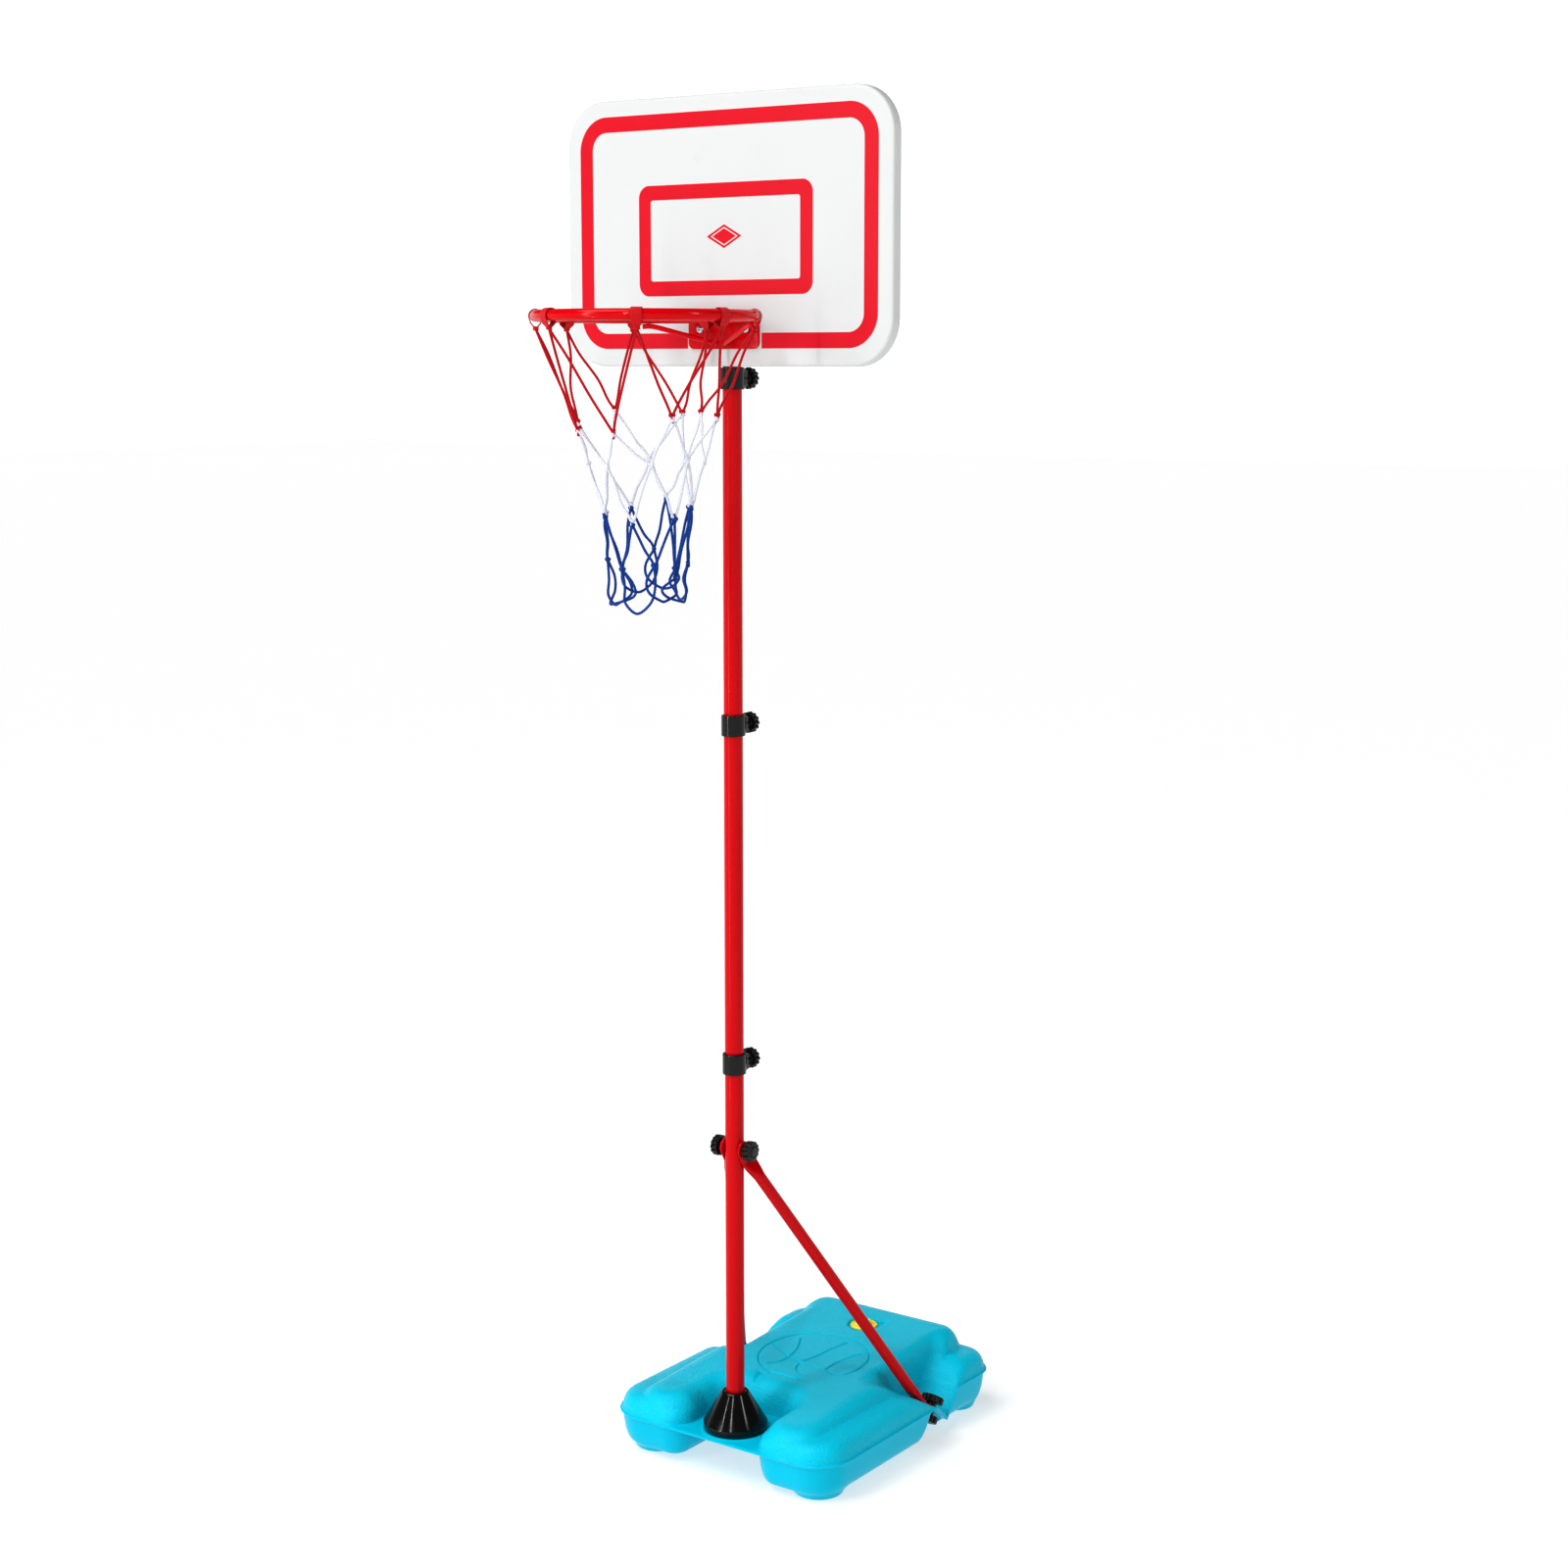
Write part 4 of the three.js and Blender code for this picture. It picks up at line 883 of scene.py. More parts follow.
def seam_lip():
    """The bead of flash along the parting line, which dips with the side shelves."""
    outline = rounded_outline(SEAM, 0.3, 14)
    path = []
    for a, b in zip(outline, np.roll(outline, -1, axis=0)):
        steps = max(1, int(np.linalg.norm(b - a) / 2.5))
        path += [a + (b - a) * t for t in np.linspace(0, 1, steps, endpoint=False)]
    path = np.array([(x, y, min(SEAM_Z, max(shelf_z(y), notch_rear_z(y)))) for x, y in path])
    angles = around_circle(10)
    rings = []
    for before, here, after in zip(np.roll(path, 1, axis=0), path, np.roll(path, -1, axis=0)):
        ahead = unit(after - before)
        out = unit(np.cross(ahead, (0, 0, 1)))
        up = np.cross(out, ahead)
        rings.append(here + LIP_OUT * np.cos(angles)[:, None] * out
                     + LIP_UP * np.sin(angles)[:, None] * up)
    return stack(rings, closed=True)


tank = piece("tank_shell", merged(tank_shape(), seam_lip()), TANK_PLASTIC, "base", "base_tank")
press_grooves(tank)


GRIP_TURN = math.radians(35)
CAP_DISC = (17.2, 3.2)    # radius and thickness
CAP_PLUG_DEPTH = 9
LOBE_OUT, LOBE_Z, LOBE_R = 6.4, 6.4, 3.3


def filler_cap_shape():
    """A round plug with a pinch grip: two round lobes with a low web between them."""
    seat = corners("filler_cap")[0][2] + CAP_PLUG_DEPTH
    axes, x, y, z, r = round_grid((-19, -19, -10), (19, 19, 12), 0.6)
    disc = soft_max(r - CAP_DISC[0], np.maximum(z - CAP_DISC[1], -z), 1.2)
    plug = soft_max(r - 12, np.maximum(z - 1, -CAP_PLUG_DEPTH - z), 1.5)
    c, s = math.cos(GRIP_TURN), math.sin(GRIP_TURN)
    along, across = np.abs(x * c + y * s), y * c - x * s
    lobe = np.sqrt((along - LOBE_OUT) ** 2 + across ** 2 + np.maximum(z - LOBE_Z, 0) ** 2) - LOBE_R
    web = np.maximum(np.maximum(along - LOBE_OUT, np.abs(across) - 1.7), z - 5.6)
    grip = np.maximum(soft_min(lobe, web, 1.2), -z)
    body = soft_min(soft_min(disc, plug, 0.8), grip, 1.0)
    ring = np.abs(r - 14.6) - 0.6
    body = soft_max(body, -np.maximum(ring, 2.6 - z), 0.6)
    return moved(surface(body, axes), shift=(FILLER[0], FILLER[1], seat))


piece("filler_cap_moulded", filler_cap_shape(), CAP_PLASTIC, "filler_cap", "filler_cap")

# ---------------------------------------------------------------- pole and its foot
TUBE_WALL = 1
TAIL = 80         # how deep an upper section's narrowed end sits in the section below
TAIL_R = 9.7


def foot_cone_shape():
    """A flared cone around the pole, hollow below."""
    z = corners("foot_cone")[0][2]
    bore = TUBE_R + GAP
    profile = softened([
        (38, z), (38.5, z + 9), (16.4, z + 46), (15, z + 47.2), (bore, z + 47.2)], 0.9, 4)
    inside = [(bore, z), (15, z), (17.5, z + 26), (31, z + 6), (35, z)]
    return turned([*inside, *profile, inside[0]], 96)


piece("foot_cone_turned", foot_cone_shape(), GLOSS_BLACK, "base", "foot_cone")


def section_shape(node):
    """A pole section with rolled rims: a tube, and on all but the lowest a taper and a tail."""
    low, high = (corner[2] for corner in corners(node))
    inner = TUBE_R - TUBE_WALL
    if node == "pole_lower":
        outline = softened([(inner, low), (TUBE_R, low), (TUBE_R, high), (inner, high)], 0.35)
    else:
        tail_inner = TAIL_R - TUBE_WALL
        start = low + TAIL + 0.4
        outline = softened([
            (tail_inner, low), (TAIL_R, low), (TAIL_R, start), (TUBE_R, start + 6),
            (TUBE_R, high), (inner, high), (inner, start + 6.8), (tail_inner, start + 0.8)], 1.0)
    return turned([*outline, outline[0]], 64)


for node, body in (("pole_lower", "base"), ("pole_mid_lower", "lower_mast"),
                   ("pole_mid_upper", "upper_mast"), ("pole_top", "board")):
    piece(f"{node}_tube", section_shape(node), RED_PAINT, body, node)


# ---------------------------------------------------------------- knobs and collars
LOBES = 12
HUB_R = 6
HEAD_LOW, HEAD_HIGH = 4.2, 14.3
HEAD_R, LOBE_HEIGHT = 9.5, 2.8
KNOB_RING_R = 6.8
SCREW_BORE_R = 3.3


def knob_shape(hub_bore=0.0):
    """A hand knob along +Z from its hub: deep scallops, a domed face and a moulded ring."""
    axes, x, y, z, r = round_grid((-13, -13, -1), (13, 13, 16.4), 0.4)
    lobe = np.abs(np.cos(LOBES / 2 * np.arctan2(y, x))) ** 0.62
    rim = (r - (HEAD_R + LOBE_HEIGHT * lobe)) * 0.8
    dome = z - (HEAD_HIGH - 0.011 * r * r)
    head = soft_max(rim, np.maximum(dome, HEAD_LOW - z), 1.0)
    hub = soft_max(r - HUB_R, np.maximum(-z, z - 6), 0.5)
    body = soft_min(head, hub, 1.0)
    ring = np.abs(r - KNOB_RING_R) - 0.4
    body = soft_max(body, -np.maximum(ring, HEAD_HIGH - 1.9 - z), 0.4)
    if hub_bore:
        body = np.maximum(body, -np.maximum(r - hub_bore, z - 10))
    return surface(body, axes)


KNOB = knob_shape()
KNOB_NUT = knob_shape(SCREW_BORE_R)


COLLAR_R = 13.8
BOSS_Y = 22    # the boss's flat end, which the knob's hub meets
# Slanting creases pressed into the top collar, as millimetres around it from its front.
CREASES = [-3.6, -1.4, 0.4, 2.6, 4.4, 6.8]
CREASE_FRONT = math.radians(-54.5)


def collar_shape(creases=()):
    """A clamp collar with a tapered boss towards +Y for its screw."""
    half = COLLAR_H / 2
    axes, x, y, z, r = round_grid((-16, -16, -14), (16, 25, 14), 0.4 if creases else 0.55)
    around_it = COLLAR_R * (np.arctan2(y, x) - CREASE_FRONT)
    pressed = sum(0.4 * np.exp(-((around_it - at - 0.32 * z) / 0.55) ** 2) for at in creases)
    ring = soft_max(r - COLLAR_R + pressed, np.abs(z) - half, 0.7)
    out = np.clip(y - 12, 0, 12)
    boss = soft_max(np.abs(x) - 8 + out * 0.12, np.abs(z) - (half - 0.35 - out * 0.36), 1.5)
    boss = soft_max(boss, np.maximum(y - BOSS_Y, 4 - y), 1.0)
    body = soft_min(ring, boss, 2.4)
    bore = r - (TUBE_R + 0.4) - 0.4 * np.clip(np.abs(z) - half + 1.2, 0, 2)
    screw = np.maximum(np.hypot(x, z) - SCREW_BORE_R, 4 - y)
    return surface(np.maximum(np.maximum(body, -bore), -screw), axes)


COLLAR = collar_shape()
TOP_COLLAR = collar_shape(CREASES)
BACKWARD = turn_to((0, 1, 0))


def screw_shape(reach, radius=3.0):
    """A plain screw down from z = 0.5, as long as its reach, with a chamfered tip."""
    outline = softened([(0, -reach), (radius - 0.4, -reach), (radius, -reach + 0.6), (radius, 0.5),
                        (0, 0.5)], 0.2, 2)
    return turned(outline[1:-1], 28)


SCREW_KNOB = merged(KNOB, screw_shape(12.5))
for place, body, ring, z in zip(("low", "mid", "top"), ("base", "lower_mast", "upper_mast"),
                                (COLLAR, COLLAR, TOP_COLLAR), COLLAR_Z):
    piece(f"collar_{place}_moulded", moved(ring, shift=(0, 0, z)), BLACK, body,
          f"collar_{place}")
    piece(f"collar_{place}_knob_moulded", moved(SCREW_KNOB, BACKWARD, (0, BOSS_Y + 0.5, z)),
          BLACK, f"{place}_knob", f"collar_{place}_knob")

# ---------------------------------------------------------------- struts
STRUT_R = 7
TAB_HALF_W = 10.5
TAB_HALF_T = 1.4
NECK_LENGTH = 30    # over which a tab turns into the round tube
TOP_BEND, LOW_BEND = 15, 17    # from each bolt to the bend beside it
STRUT_TOP_Z = sum(corners("strut_bolt"))[2] / 2
SHELF_BOLT = (142, 209)
SHELF_NORMAL = unit((0, SHELF_SLOPE, 1))
SHELF_POINT = np.array([*SHELF_BOLT, shelf_z(SHELF_BOLT[1])])
TAB_X = TUBE_R + 0.4 + TAB_HALF_T
# The knobs at the shelves are a little wider than the others.
WIDER = np.diag([1.12, 1.12, 1])


def strut_end(pivot, along, normal, reach):
    """Stations from a tab's round tip to the round tube: its bend lies at a reach from the bolt.

    Each station is [centre, normal of the flat sides, flatness, half width, part of the end].
    """
    for part in np.cos(np.linspace(0.12, math.pi / 2, 7)):
        half = TAB_HALF_W * math.sqrt(max(1 - part * part, 0.015))
        yield pivot - along * part * TAB_HALF_W, normal, 1.0, half, "tab"
    for at in (3, 6, 9, 12):
        yield pivot + along * at, normal, 1.0, TAB_HALF_W, "tab"
    yield pivot + along * reach, normal, 0.93, TAB_HALF_W, "bend"


def strut_neck(bend, axis, normal):
    """Stations along the tube, from a bend to where the tube is fully round."""
    for at in (3, 6, 9, 12, 15, 18, 22, 26, NECK_LENGTH):
        flat = 0.5 + 0.5 * math.cos(math.pi * at / NECK_LENGTH)
        half = STRUT_R + (TAB_HALF_W - STRUT_R) * flat
        yield bend + axis * at, normal, flat * 0.9, half, "tube"


def strut_ring(centre, ahead, normal, flat, half_width, sides=40):
    """A section across the strut, from a circle to a flat bar as flat goes from 0 to 1."""
    first = unit(np.array([1.0, 0, 0]) - ahead * ahead[0])
    second = np.cross(ahead, first)
    flat_dir = normal - ahead * (normal @ ahead)
    phase = math.atan2(flat_dir @ second, flat_dir @ first) + math.pi / 2
    half_thick = TAB_HALF_T + (STRUT_R - TAB_HALF_T) * (1 - flat)
    power = 2 / (2 + 5 * flat)
    angles = around_circle(sides) - phase
    u = half_width * np.sign(np.cos(angles)) * np.abs(np.cos(angles)) ** power
    v = half_thick * np.sign(np.sin(angles)) * np.abs(np.sin(angles)) ** power
    c, s = math.cos(phase), math.sin(phase)
    return centre + (u * c - v * s)[:, None] * first + (u * s + v * c)[:, None] * second


def strut_shape():
    """A tube whose ends are crushed flat into rounded tabs."""
    top = np.array([TAB_X, 0, STRUT_TOP_Z])
    low = SHELF_POINT + SHELF_NORMAL * (GAP + TAB_HALF_T)
    run = low - top
    top_dir = unit((0, run[1], run[2]))
    low_dir = unit(run - SHELF_NORMAL * (run @ SHELF_NORMAL))
    bend_top, bend_low = top + top_dir * TOP_BEND, low - low_dir * LOW_BEND
    axis = unit(bend_low - bend_top)
    sideways = np.array([1.0, 0, 0])
    upper = [*strut_end(top, top_dir, sideways, TOP_BEND),
             *strut_neck(bend_top, axis, sideways)]
    lower = [*strut_end(low, -low_dir, SHELF_NORMAL, LOW_BEND),
             *strut_neck(bend_low, -axis, SHELF_NORMAL)]
    rings = []
    for stations, tab_dir in ((upper, top_dir), (lower[::-1], low_dir)):
        ahead = {"tab": tab_dir, "bend": unit(tab_dir + axis), "tube": axis}
        rings += [strut_ring(centre, ahead[part], normal, flat, half)
                  for centre, normal, flat, half, part in stations]
    return stack(rings)


STRUT = strut_shape()
SHELF_UP = turn_to(SHELF_NORMAL)
TAB_TOP = 2 * GAP + 2 * TAB_HALF_T
BELOW = SHELF_T * SHELF_NORMAL[2] + GAP
STRUT_NUT = moved(KNOB_NUT, turn_to((1, 0, 0), (0, 0, 1)),
                  (TAB_X + TAB_HALF_T + GAP, 0, STRUT_TOP_Z))
SHELF_NUT = moved(KNOB_NUT, SHELF_UP @ WIDER, SHELF_POINT + SHELF_NORMAL * TAB_TOP)
SHELF_SCREW = moved(merged(KNOB, screw_shape(TAB_TOP + 10 + BELOW)),
                    turn_to(-SHELF_NORMAL) @ WIDER, SHELF_POINT - SHELF_NORMAL * BELOW)
for side, name in SIDES:
    for node, finish, shape, material, body in (
            (f"strut_{name}", "tube", STRUT, RED_PAINT, "base"),
            (f"strut_knob_{name}", "moulded", STRUT_NUT, BLACK, f"strut_knob_{name}"),
            (f"shelf_knob_{name}", "moulded", SHELF_NUT, BLACK, f"shelf_knob_{name}"),
            (f"shelf_bolt_{name}", "moulded", SHELF_SCREW, BLACK, "base")):
        piece(f"{node}_{finish}", shape if side > 0 else mirrored(shape), material, body, node)

# ---------------------------------------------------------------- backboard
BOARD_CORNER = 52
BOARD_SKIN = 2.4
BOARD_FRONT = BOARD_LOW[1]
BOARD_DEPTH = 14.3
BOARD_BACK = BOARD_FRONT + BOARD_DEPTH
BOARD_EDGE_R = 2.9
SKIN_BACK = BOARD_FRONT + BOARD_SKIN
SLEEVE_R = 14.4
SLEEVE_Z = (1478, 1518)
RIB_X = (-150, -85, -20, 20, 85, 150)
RIB_Z = (1372, 1450, 1528)


def upright_stack(outline, levels, steps=16):
    """A body in the board's plane from outlines [x, z, radius] and levels [inset, y]."""
    rings = []
    for inset, y in levels:
        flat = rounded_outline(outline, inset, steps)
        rings.append(np.stack([flat[:, 0], np.full(len(flat), y), flat[:, 1]], axis=1))
    return stack(rings)


def turned_rod(radius, low, high, sides):
    return turned([(0.01, low), (radius, low), (radius, high), (0.01, high)], sides)


def box_shape(x0, x1, y0, y1, z0, z1):
    points = [(x, y, z) for x in (x0, x1) for y in (y0, y1) for z in (z0, z1)]
    faces = [(0, 1, 3, 2), (4, 6, 7, 5), (0, 4, 5, 1), (2, 3, 7, 6), (0, 2, 6, 4), (1, 5, 7, 3)]
    return points, faces


def boolean(obj, shape, operation, self_crossing=False):
    other = new_object("cutter", *shape, BOARD_PLASTIC)
    fix_normals(other)
    step = obj.modifiers.new("boolean", "BOOLEAN")
    step.operation = operation
    step.solver = "EXACT"
    step.use_self = self_crossing
    step.object = other
    apply_modifiers(obj)
    bpy.data.objects.remove(other)


def apply_modifiers(obj):
    evaluated = obj.evaluated_get(bpy.context.evaluated_depsgraph_get())
    mesh = bpy.data.meshes.new_from_object(evaluated)
    obj.modifiers.clear()
    obj.data = mesh


def fix_normals(obj):
    with edited(obj) as mesh:
        bmesh.ops.remove_doubles(mesh, verts=mesh.verts, dist=1e-7)
        bmesh.ops.recalc_face_normals(mesh, faces=mesh.faces)


def backboard_shape():
    """A tray: rounded front edge, thin skin and walls, open behind."""
    outline = rectangle(-BOARD_LOW[0], BOARD_LOW[2], BOARD_HIGH[2], BOARD_CORNER)
    front = [(BOARD_EDGE_R * (1 - math.sin(a)), BOARD_FRONT + BOARD_EDGE_R * (1 - math.cos(a)))
             for a in np.linspace(0, math.pi / 2, 7)]
    levels = [(14, BOARD_FRONT), (5, BOARD_FRONT), *front, (0, BOARD_BACK - 0.5),
              (0.15, BOARD_BACK - 0.15), (0.5, BOARD_BACK), (BOARD_SKIN - 0.5, BOARD_BACK),
              (BOARD_SKIN - 0.15, BOARD_BACK - 0.15), (BOARD_SKIN, BOARD_BACK - 0.5),
              (BOARD_SKIN, SKIN_BACK + 1), (BOARD_SKIN + 0.3, SKIN_BACK + 0.3),
              (BOARD_SKIN + 1, SKIN_BACK), (14, SKIN_BACK)]
    return upright_stack(outline, levels)


def board_ribs():
    """Upright and level ribs behind the skin, and a block for the pole's sleeve."""
    root, top = SKIN_BACK - 1, SKIN_BACK + 7
    ribs = [box_shape(x - 1, x + 1, root, top, BOARD_LOW[2] + 1, BOARD_HIGH[2] - 1)
            for x in RIB_X]
    for z in RIB_Z:
        ribs += [box_shape(x0, x1, root, top, z - 1, z + 1) for x0, x1 in ((-222, -20), (20, 222))]
    ribs += [turned_rod(SLEEVE_R, *SLEEVE_Z, 48),
             box_shape(-SLEEVE_R, SLEEVE_R, root, 0, *SLEEVE_Z)]
    return merged(*ribs)


board = new_object("backboard_moulded", *backboard_shape(), BOARD_PLASTIC)
fix_normals(board)
boolean(board, board_ribs(), "UNION", self_crossing=True)
# Room for the pole behind the skin and through the bottom wall, and for the saddle strap.
for room in (turned_rod(TUBE_R + GAP, 1290, 1525, 64),
             box_shape(-12.5, 12.5, SKIN_BACK, BOARD_BACK + 5, 1296, 1330),
             box_shape(-45, 45, SKIN_BACK, BOARD_BACK + 5, 1328, 1359)):
    boolean(board, room, "DIFFERENCE")


def smooth_by_angle(obj, degrees=35):
    """Smooth shading with the sharp edges kept."""
    limit = math.radians(degrees)
    with edited(obj) as mesh:
        for edge in mesh.edges:
            edge.smooth = len(edge.link_faces) == 2 and edge.calc_face_angle(0) < limit
        for face in mesh.faces:
            face.smooth = True


smooth_by_angle(board)
stand_in(board, "board", "backboard")

# ---------------------------------------------------------------- ring, braces and screws
PLATE_T = 2.5
PLATE_FRONT = BOARD_FRONT - GAP - PLATE_T


def ring_shape():
    """The ring's round tube."""
    section = around_circle(28)[:, None]
    rings = []
    for angle in around_circle(144):
        out = np.array([math.cos(angle), math.sin(angle), 0])
        rings.append(RING_CENTRE + out * RING_R
                     + RING_TUBE_R * (np.cos(section) * out + np.sin(section) * UP))
    return stack(rings, closed=True)


piece("rim_ring_tube", ring_shape(), RED_PAINT, "board", "rim_ring")

BRACE_R = 2.8
BRACE_ANGLE = 50


def brace_shape(side):
    """A rod from the plate to the underside of the ring, level where it meets the ring."""
    angle = math.radians(BRACE_ANGLE)
    start = np.array([side * 4.2, PLATE_FRONT - BRACE_R - GAP, 1327])
    end = np.array([side * RING_R * math.cos(angle), RING_CENTRE[1] + RING_R * math.sin(angle),
                    RING_LOW[2] - BRACE_R - 0.4])
    bend = end * 0.84 + start * 0.16
    bend[2] = end[2] - 0.4
    path = smooth_path([start, (start + bend) / 2, bend, end], 3)
    return tube(path, BRACE_R, 24)


for side, name in SIDES:
    piece(f"rim_brace_{name}_rod", brace_shape(side), RED_PAINT, "board", f"rim_brace_{name}")


def rim_screw_shape(node):
    """A pan-head screw with a cross recess, along -Y."""
    low, high = corners(node)
    axes, x, y, z, r = round_grid((-6, -6, -1), (6, 6, 4.6), 0.25)
    head = np.maximum(np.sqrt(r ** 2 + (z * 1.45) ** 2) - 4.8, -z)
    slot_floor = 1.6 + 0.25 * r
    cross = np.minimum(np.maximum(np.abs(x) - 0.6, np.abs(y) - 2.4),
                       np.maximum(np.abs(y) - 0.6, np.abs(x) - 2.4))
    head = soft_max(head, -np.maximum(cross, slot_floor - z), 0.25)
    shape = merged(surface(head, axes),
                   screw_shape(high[1] - low[1] - 3.4, 2.5))
    centre = (low + high) / 2
    return moved(shape, turn_to((0, -1, 0)), (centre[0], PLATE_FRONT - GAP, centre[2]))


for _, name in SIDES:
    piece(f"rim_screw_{name}_turned", rim_screw_shape(f"rim_screw_{name}"), ZINC, "board",
          f"rim_screw_{name}")

# ---------------------------------------------------------------- net
# Angles are about the ring's centre, in degrees from +X; the net hangs a little unevenly.
LOOP_ANGLES = [34, 93, 135, 176, 219, 249, 304, 351]
STRAP_HALF_W = 6
NECK_HALF_W = 1.9
NECK_DROP = 14.5
# A strap's section with soft edges, as shares of its half width and half thickness.
STRAP_SECTION = [(-1, -0.6), (-0.92, -1), (-0.4, -1), (0, -1), (0.4, -1), (0.92, -1), (1, -0.6),
                 (1, 0.6), (0.92, 1), (0.4, 1), (0, 1), (-0.4, 1), (-0.92, 1), (-1, 0.6)]
# The knots below each pair of neighbouring loops, starting between loops 8 and 1.
RED_KNOTS = [(19, 1249), (81, 1252), (99, 1251), (153, 1255), (200, 1242), (232, 1235),
             (281, 1233), (328, 1250)]
WHITE_KNOTS = [(46, 1200), (87, 1197), (126, 1203), (173, 1193), (218, 1199), (266, 1197),
               (313, 1200), (351, 1205)]
BLUE_KNOTS = [(18, 1154), (62, 1152), (105, 1160), (149, 1150), (194, 1143), (243, 1146),
              (289, 1137), (345, 1142)]
BLUE_CROSSINGS = [(38, 1091), (84, 1083), (119, 1104), (168, 1082), (206, 1095), (270, 1088),
                  (318, 1092), (352, 1078)]
# How low each loop of the hem hangs, and how far it bulges past its ends.
HEM = [(1052, 0.1), (1062, 0.3), (1058, 0.05), (1046, 0.35), (1050, 0.3), (1042, 0.0), (1054, 0.25),
       (1052, 0.4)]
NET_PROFILE = np.array([(1042, 41), (1094, 44), (1151, 50), (1200, 63), (1243, 78), (1338, 111)])


def on_net(angle, z, out=0.0):
    """A point of the net's outline at an angle and height, or further out by some mm."""
    r = np.interp(z, NET_PROFILE[:, 0], NET_PROFILE[:, 1]) + out
    a = math.radians(angle)
    return RING_CENTRE * [1, 1, 0] + np.array([r * math.cos(a), r * math.sin(a), z])


def hanging(start, end, sway=2.2):
    """A cord between two knots, nearly straight, with a little slack."""
    start, end = np.asarray(start, float), np.asarray(end, float)
    out = unit((start + end) / 2 * [1, 1, 0] - RING_CENTRE * [1, 1, 0])
    side = np.cross(unit(end - start), out)
    points = [start]
    for t in (0.28, 0.62, 0.86):
        push = RNG.uniform(-0.6, 1.0) * out + RNG.uniform(-1, 1) * side
        points.append(start + (end - start) * t + push * sway * 4 * t * (1 - t))
    return cord([*points, end])


def knot_shape(centre, size=2.3, radius=CORD_R):
    """An overhand knot, drawn tight."""
    t = np.linspace(0, TURN, 46)
    loop = np.stack([np.sin(t) + 1.5 * np.sin(2 * t), 0.8 * np.sin(3 * t),
                     np.cos(t) - 1.5 * np.cos(2 * t)], axis=1) * size / 2
    spin = RNG.uniform(0, TURN)
    c, s = math.cos(spin), math.sin(spin)
    loop = loop @ np.array([[c, -s, 0], [s, c, 0], [0, 0, 1]]).T
    return tube(loop + centre, radius, 10, laid)


def tail_shape(start, length=5.0):
    """A short cut end that sticks out below a knot."""
    lean = RNG.uniform(-0.5, 0.5, 2)
    end = np.asarray(start) + np.array([lean[0] * length, lean[1] * length, -length])
    return cord([start, (start + end) / 2 + [0.3, -0.2, 0], end], CORD_R * 0.95)


def strap_line():
    """The strap's route around the ring's tube, in its own upright plane."""
    r = RING_TUBE_R + 0.95
    arc = [(r * math.cos(t), r * math.sin(t)) for t in np.linspace(-0.6, math.pi + 0.6, 26)]
    outer = [(x, up - NECK_DROP) for x, up in ((1.0, 0), (1.5, 2), (3.2, 4.6), (5.2, 7.2))]
    inner = [(-x, z) for x, z in reversed(outer)]
    return smooth_path(np.array([(x, 0, z) for x, z in [*outer, *arc[2:-2], *inner]]), 0.8)


def strap_shape(angle):
    """A webbing loop over the ring that narrows to a tied neck below it."""
    a = math.radians(angle)
    out, along = np.array([math.cos(a), math.sin(a), 0]), np.array([-math.sin(a), math.cos(a), 0])
    centre = RING_CENTRE + out * RING_R
    line = strap_line()
    rings = []
    for point, direction in zip(line, np.gradient(line, axis=0)):
        d = unit([direction[0], 0, direction[2]])
        normal = np.array([d[2], 0, -d[0]])
        spread = np.clip((point[2] + NECK_DROP) / 7, 0, 1)
        half = NECK_HALF_W + (STRAP_HALF_W - NECK_HALF_W) * spread * spread * (3 - 2 * spread)
        thick = 0.55 + 0.35 * (1 - spread)
        ring = []
        for u, v in STRAP_SECTION:
            local = point + normal * v * thick
            ring.append(centre + out * local[0] + along * u * half + UP * local[2])
        rings.append(ring)
    neck = centre + UP * (1.5 - NECK_DROP)
    whipping = [neck + out * 2.2 * math.cos(t) + along * 2.9 * math.sin(t)
                + UP * (1.6 - 3.4 * t / (5 * math.pi)) for t in np.linspace(0, 5 * math.pi, 60)]
    return merged(stack(np.array(rings)), tube(whipping, 1.0, 10, laid)), neck


def hem_loop(lows, i):
    """A loose loop of the hem, between two neighbouring crossings."""
    after = (i + 1) % len(lows)
    bottom, bulge = HEM[i]
    start = BLUE_CROSSINGS[i][0]
    span = (BLUE_CROSSINGS[after][0] - start) % 360
    hem = [lows[i]]
    for share, depth in ((-bulge, 0.42), (0.08 - bulge, 0.76), (0.36, 1.0), (0.64, 1.0),
                         (0.92 + bulge, 0.76), (1 + bulge, 0.42)):
        from_z = lows[i][2] if share < 0.5 else lows[after][2]
        z = from_z + (bottom - from_z) * depth
        hem.append(on_net(start + span * share + RNG.uniform(-3, 3), z, RNG.uniform(-3, 1)))
    return cord([*hem, lows[after]])


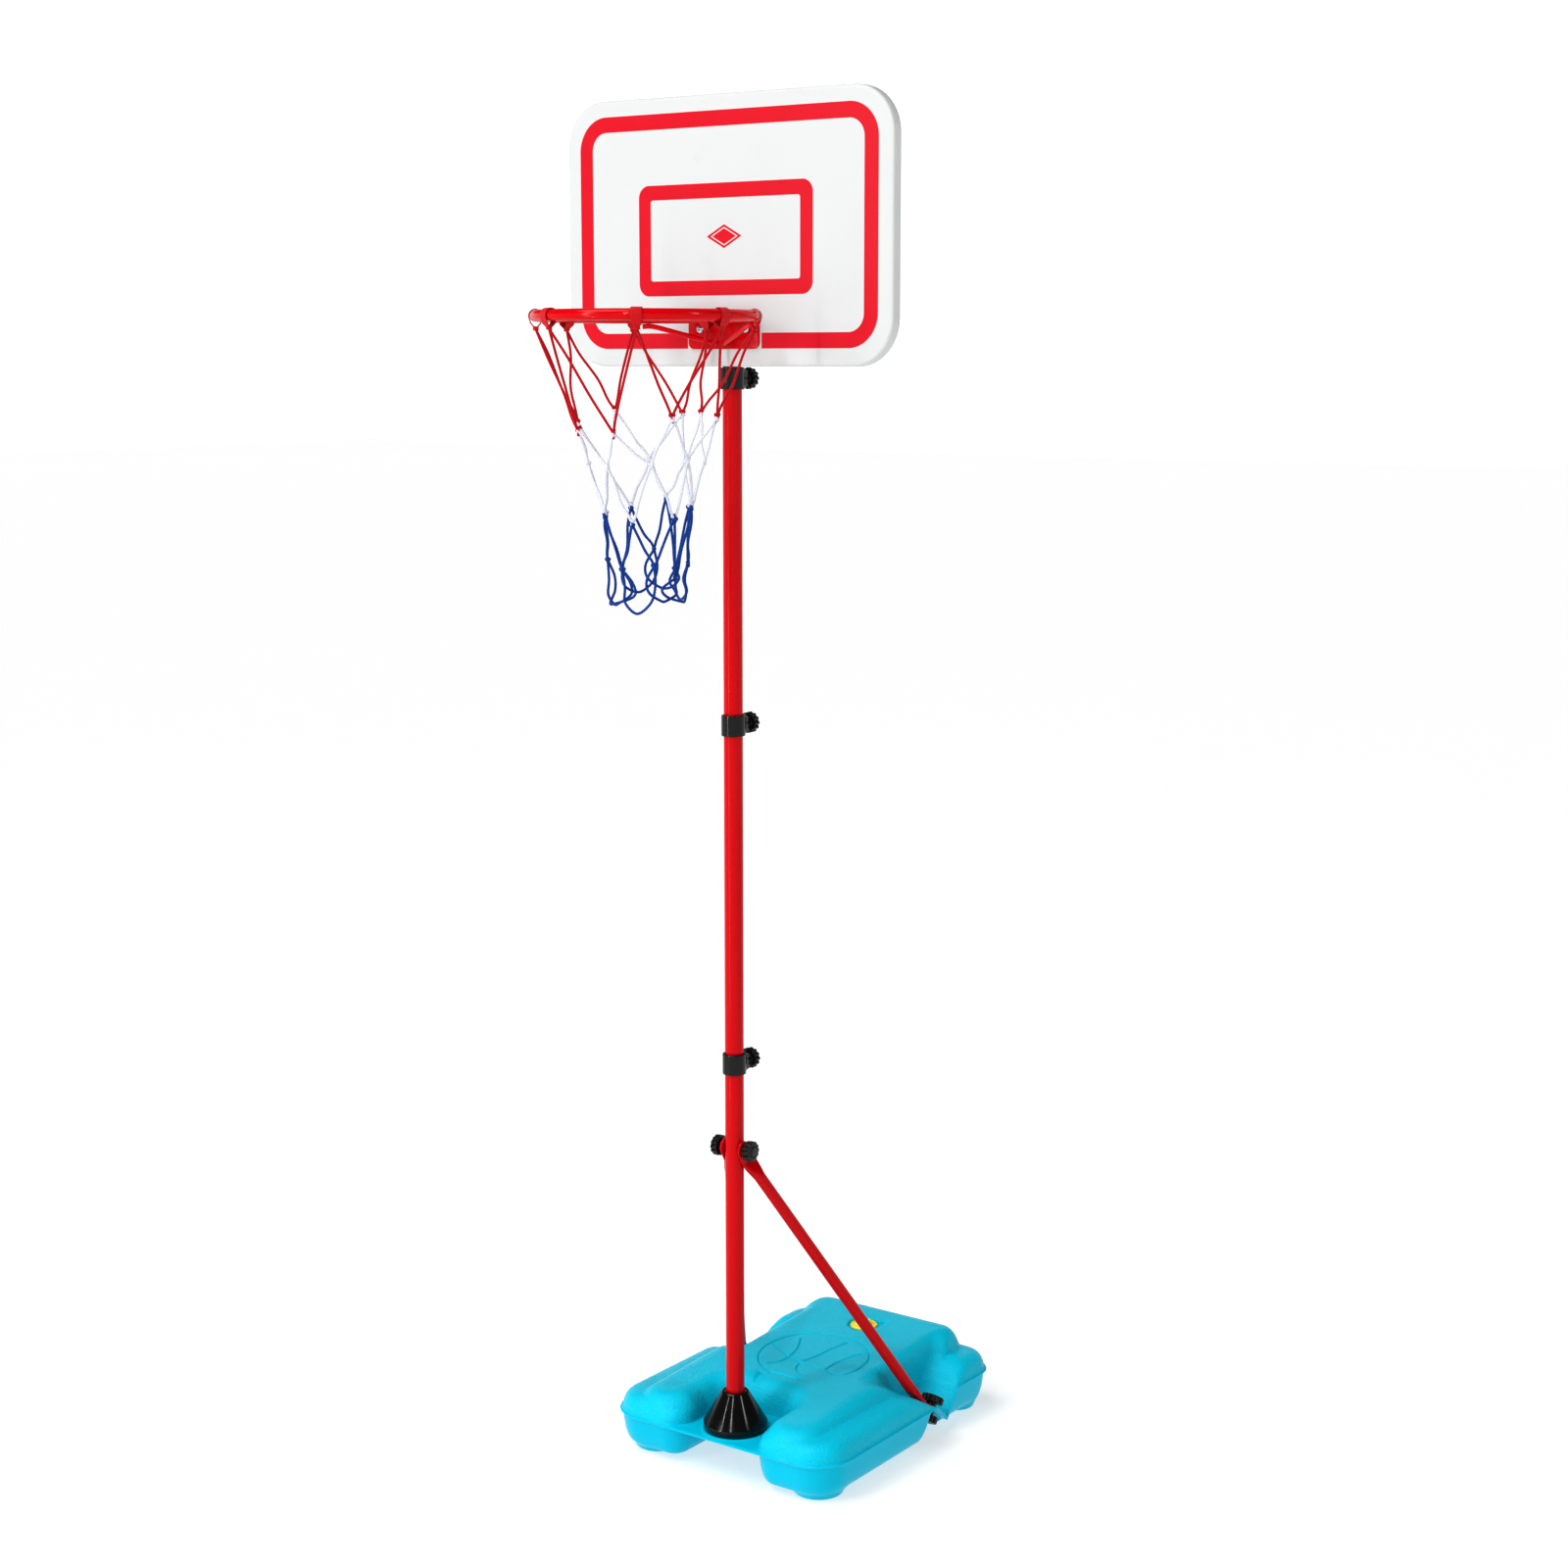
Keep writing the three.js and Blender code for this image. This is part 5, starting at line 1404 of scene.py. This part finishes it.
def net_shapes():
    """The cords of each colour, and the straps with their necks."""
    straps, necks = zip(*[strap_shape(angle) for angle in LOOP_ANGLES])
    red, white, blue = [], [], []
    knots, crossings, ties, lows = ([on_net(*k) for k in level] for level in
                                    (RED_KNOTS, WHITE_KNOTS, BLUE_KNOTS, BLUE_CROSSINGS))
    for i in range(len(straps)):
        # Loop i hangs between red knots i and i + 1; crossings and ties alternate below them.
        after = (i + 1) % len(straps)
        neck = necks[i] - UP
        red += [hanging(neck, knots[i], 3.0), hanging(neck, knots[after], 3.0)]
        red += [knot_shape(knots[i] + UP * 1.6), tail_shape(knots[i], 6)]
        white += [hanging(knots[i], crossings[i - 1]), hanging(knots[i], crossings[i])]
        white += [knot_shape(knots[i] - UP * 1.8, 2.0), knot_shape(crossings[i], 1.7)]
        white += [hanging(crossings[i], ties[i]), hanging(crossings[i], ties[after])]
        white += [knot_shape(ties[i] + UP * 1.8, 2.1)]
        blue += [knot_shape(ties[i] - UP * 1.4, 2.3), tail_shape(ties[i] + UP * 5, 5)]
        blue += [hanging(ties[i], lows[i - 1]), hanging(ties[i], lows[i])]
        blue += [knot_shape(lows[i], 2.2), hem_loop(lows, i)]
    return straps, merged(*red), merged(*white), merged(*blue)


STRAPS, RED_NET, WHITE_NET, BLUE_NET = net_shapes()
for i, strap in enumerate(STRAPS):
    piece(f"net_strap_{i + 1}", strap, STRAP_RED, "board", f"net_loop_{i + 1}")
for color, shape, material in (("red", RED_NET, CORD_RED), ("white", WHITE_NET, CORD_WHITE),
                               ("blue", BLUE_NET, CORD_BLUE)):
    piece(f"net_cords_{color}", shape, material, "board", f"net_{color}")

# ---------------------------------------------------------------- CAD nodes that stay
carried("rim_plate", RED_PAINT, 0.5)
carried("pole_saddle", ZINC)
carried("pole_end_plug", BLACK)
carried("pole_top_cap", BLACK, 0.4)
for node in ("foot_bolt", "foot_washer", "strut_bolt", "rim_nut_right", "rim_nut_left"):
    carried(node, ZINC)

# ---------------------------------------------------------------- floor, light and camera
FLOOR_REACH = 30    # metres each way


def floor():
    m = Nodes("floor", 0.9, Specular_IOR_Level=0.1, Emission_Strength=0.60)
    m.shader.inputs["Emission Color"].default_value = (1, 1, 1, 1)
    m.color(m.shade(srgb(184, 184, 184), m.noise(0.6, 2), 0.99, 1.0))
    mesh = bpy.data.meshes.new("floor")
    mesh.from_pydata([(x * FLOOR_REACH, y * FLOOR_REACH, 0)
                      for x, y in ((-1, -1), (1, -1), (1, 1), (-1, 1))], [], [(0, 1, 2, 3)])
    mesh.materials.append(m.material)
    obj = linked("floor", mesh)
    obj.location.z = -0.5 * MM


def area_light(name, place, aim, size, watts):
    light = bpy.data.lights.new(name, "AREA")
    light.shape = "RECTANGLE"
    light.size, light.size_y = size
    light.energy = watts
    obj = linked(name, light)
    obj.location = place
    obj.rotation_euler = (Vector(aim) - Vector(place)).to_track_quat("-Z", "Y").to_euler()
    obj.visible_camera = False


def distant_light(name, toward, strength, spread):
    """A soft light from far away: spread is its width in degrees."""
    sun = bpy.data.lights.new(name, "SUN")
    sun.energy = strength
    sun.angle = math.radians(spread)
    obj = linked(name, sun)
    obj.rotation_euler = Vector(toward).to_track_quat("Z", "Y").to_euler()


# The camera's place about the pole in metres, and its angles.
CAMERA_PLACE = (1.7644, -2.3773, 1.3083)
CAMERA_TURN = math.radians(35.46)
CAMERA_DIP = 9.2
CAMERA_LENS = 59.97


def around(turn, distance, height):
    """A place around the hoop, turned to the right of the camera's side by some degrees."""
    a = CAMERA_TURN + math.radians(turn)
    return (distance * math.sin(a), -distance * math.cos(a), height)


def studio():
    """A white backdrop around the hoop and a dim ceiling; soft lights and three strips."""
    world = bpy.data.worlds.new("studio")
    world.use_nodes = True
    tree = world.node_tree
    sky = tree.nodes["Background"]
    sky.inputs[0].default_value = (1, 1, 1, 1)
    place = tree.nodes.new("ShaderNodeTexCoord")
    height = tree.nodes.new("ShaderNodeSeparateXYZ")
    level = tree.nodes.new("ShaderNodeMapRange")
    level.interpolation_type = "SMOOTHSTEP"
    for socket, value in zip(level.inputs[1:5], (0.15, 0.24, 1.1, 0.10)):
        socket.default_value = value
    tree.links.new(place.outputs["Generated"], height.inputs[0])
    tree.links.new(height.outputs["Z"], level.inputs[0])
    tree.links.new(level.outputs[0], sky.inputs[1])
    bpy.context.scene.world = world
    distant_light("key", around(-58, 1.0, 0.36), 0.5, 14)
    distant_light("overhead", around(-70, 0.5, 1.0), 2.2, 40)
    area_light("tall_strip", around(-54, 1.6, 1.2), (0, 0, 1.0), (0.03, 2.2), 9)
    area_light("narrow_strip", around(-18, 2.4, 2.2), (0, 0, 0.1), (0.10, 1.2), 14)
    area_light("wide_strip", around(50, 2.4, 2.2), (0, 0, 0.1), (0.30, 1.2), 14)


def camera():
    lens = bpy.data.cameras.new("camera")
    lens.lens, lens.sensor_width = CAMERA_LENS, 36
    lens.clip_start, lens.clip_end = 0.1, 200
    obj = linked("camera", lens)
    obj.location = (CAMERA_PLACE[0] + POLE.x, CAMERA_PLACE[1] + POLE.y, CAMERA_PLACE[2])
    obj.rotation_euler = (math.radians(90 - CAMERA_DIP), 0, CAMERA_TURN)
    bpy.context.scene.camera = obj


floor()
studio()
camera()
bpy.context.scene.view_settings.view_transform = "Standard"
bpy.context.scene.view_settings.gamma = 0.86
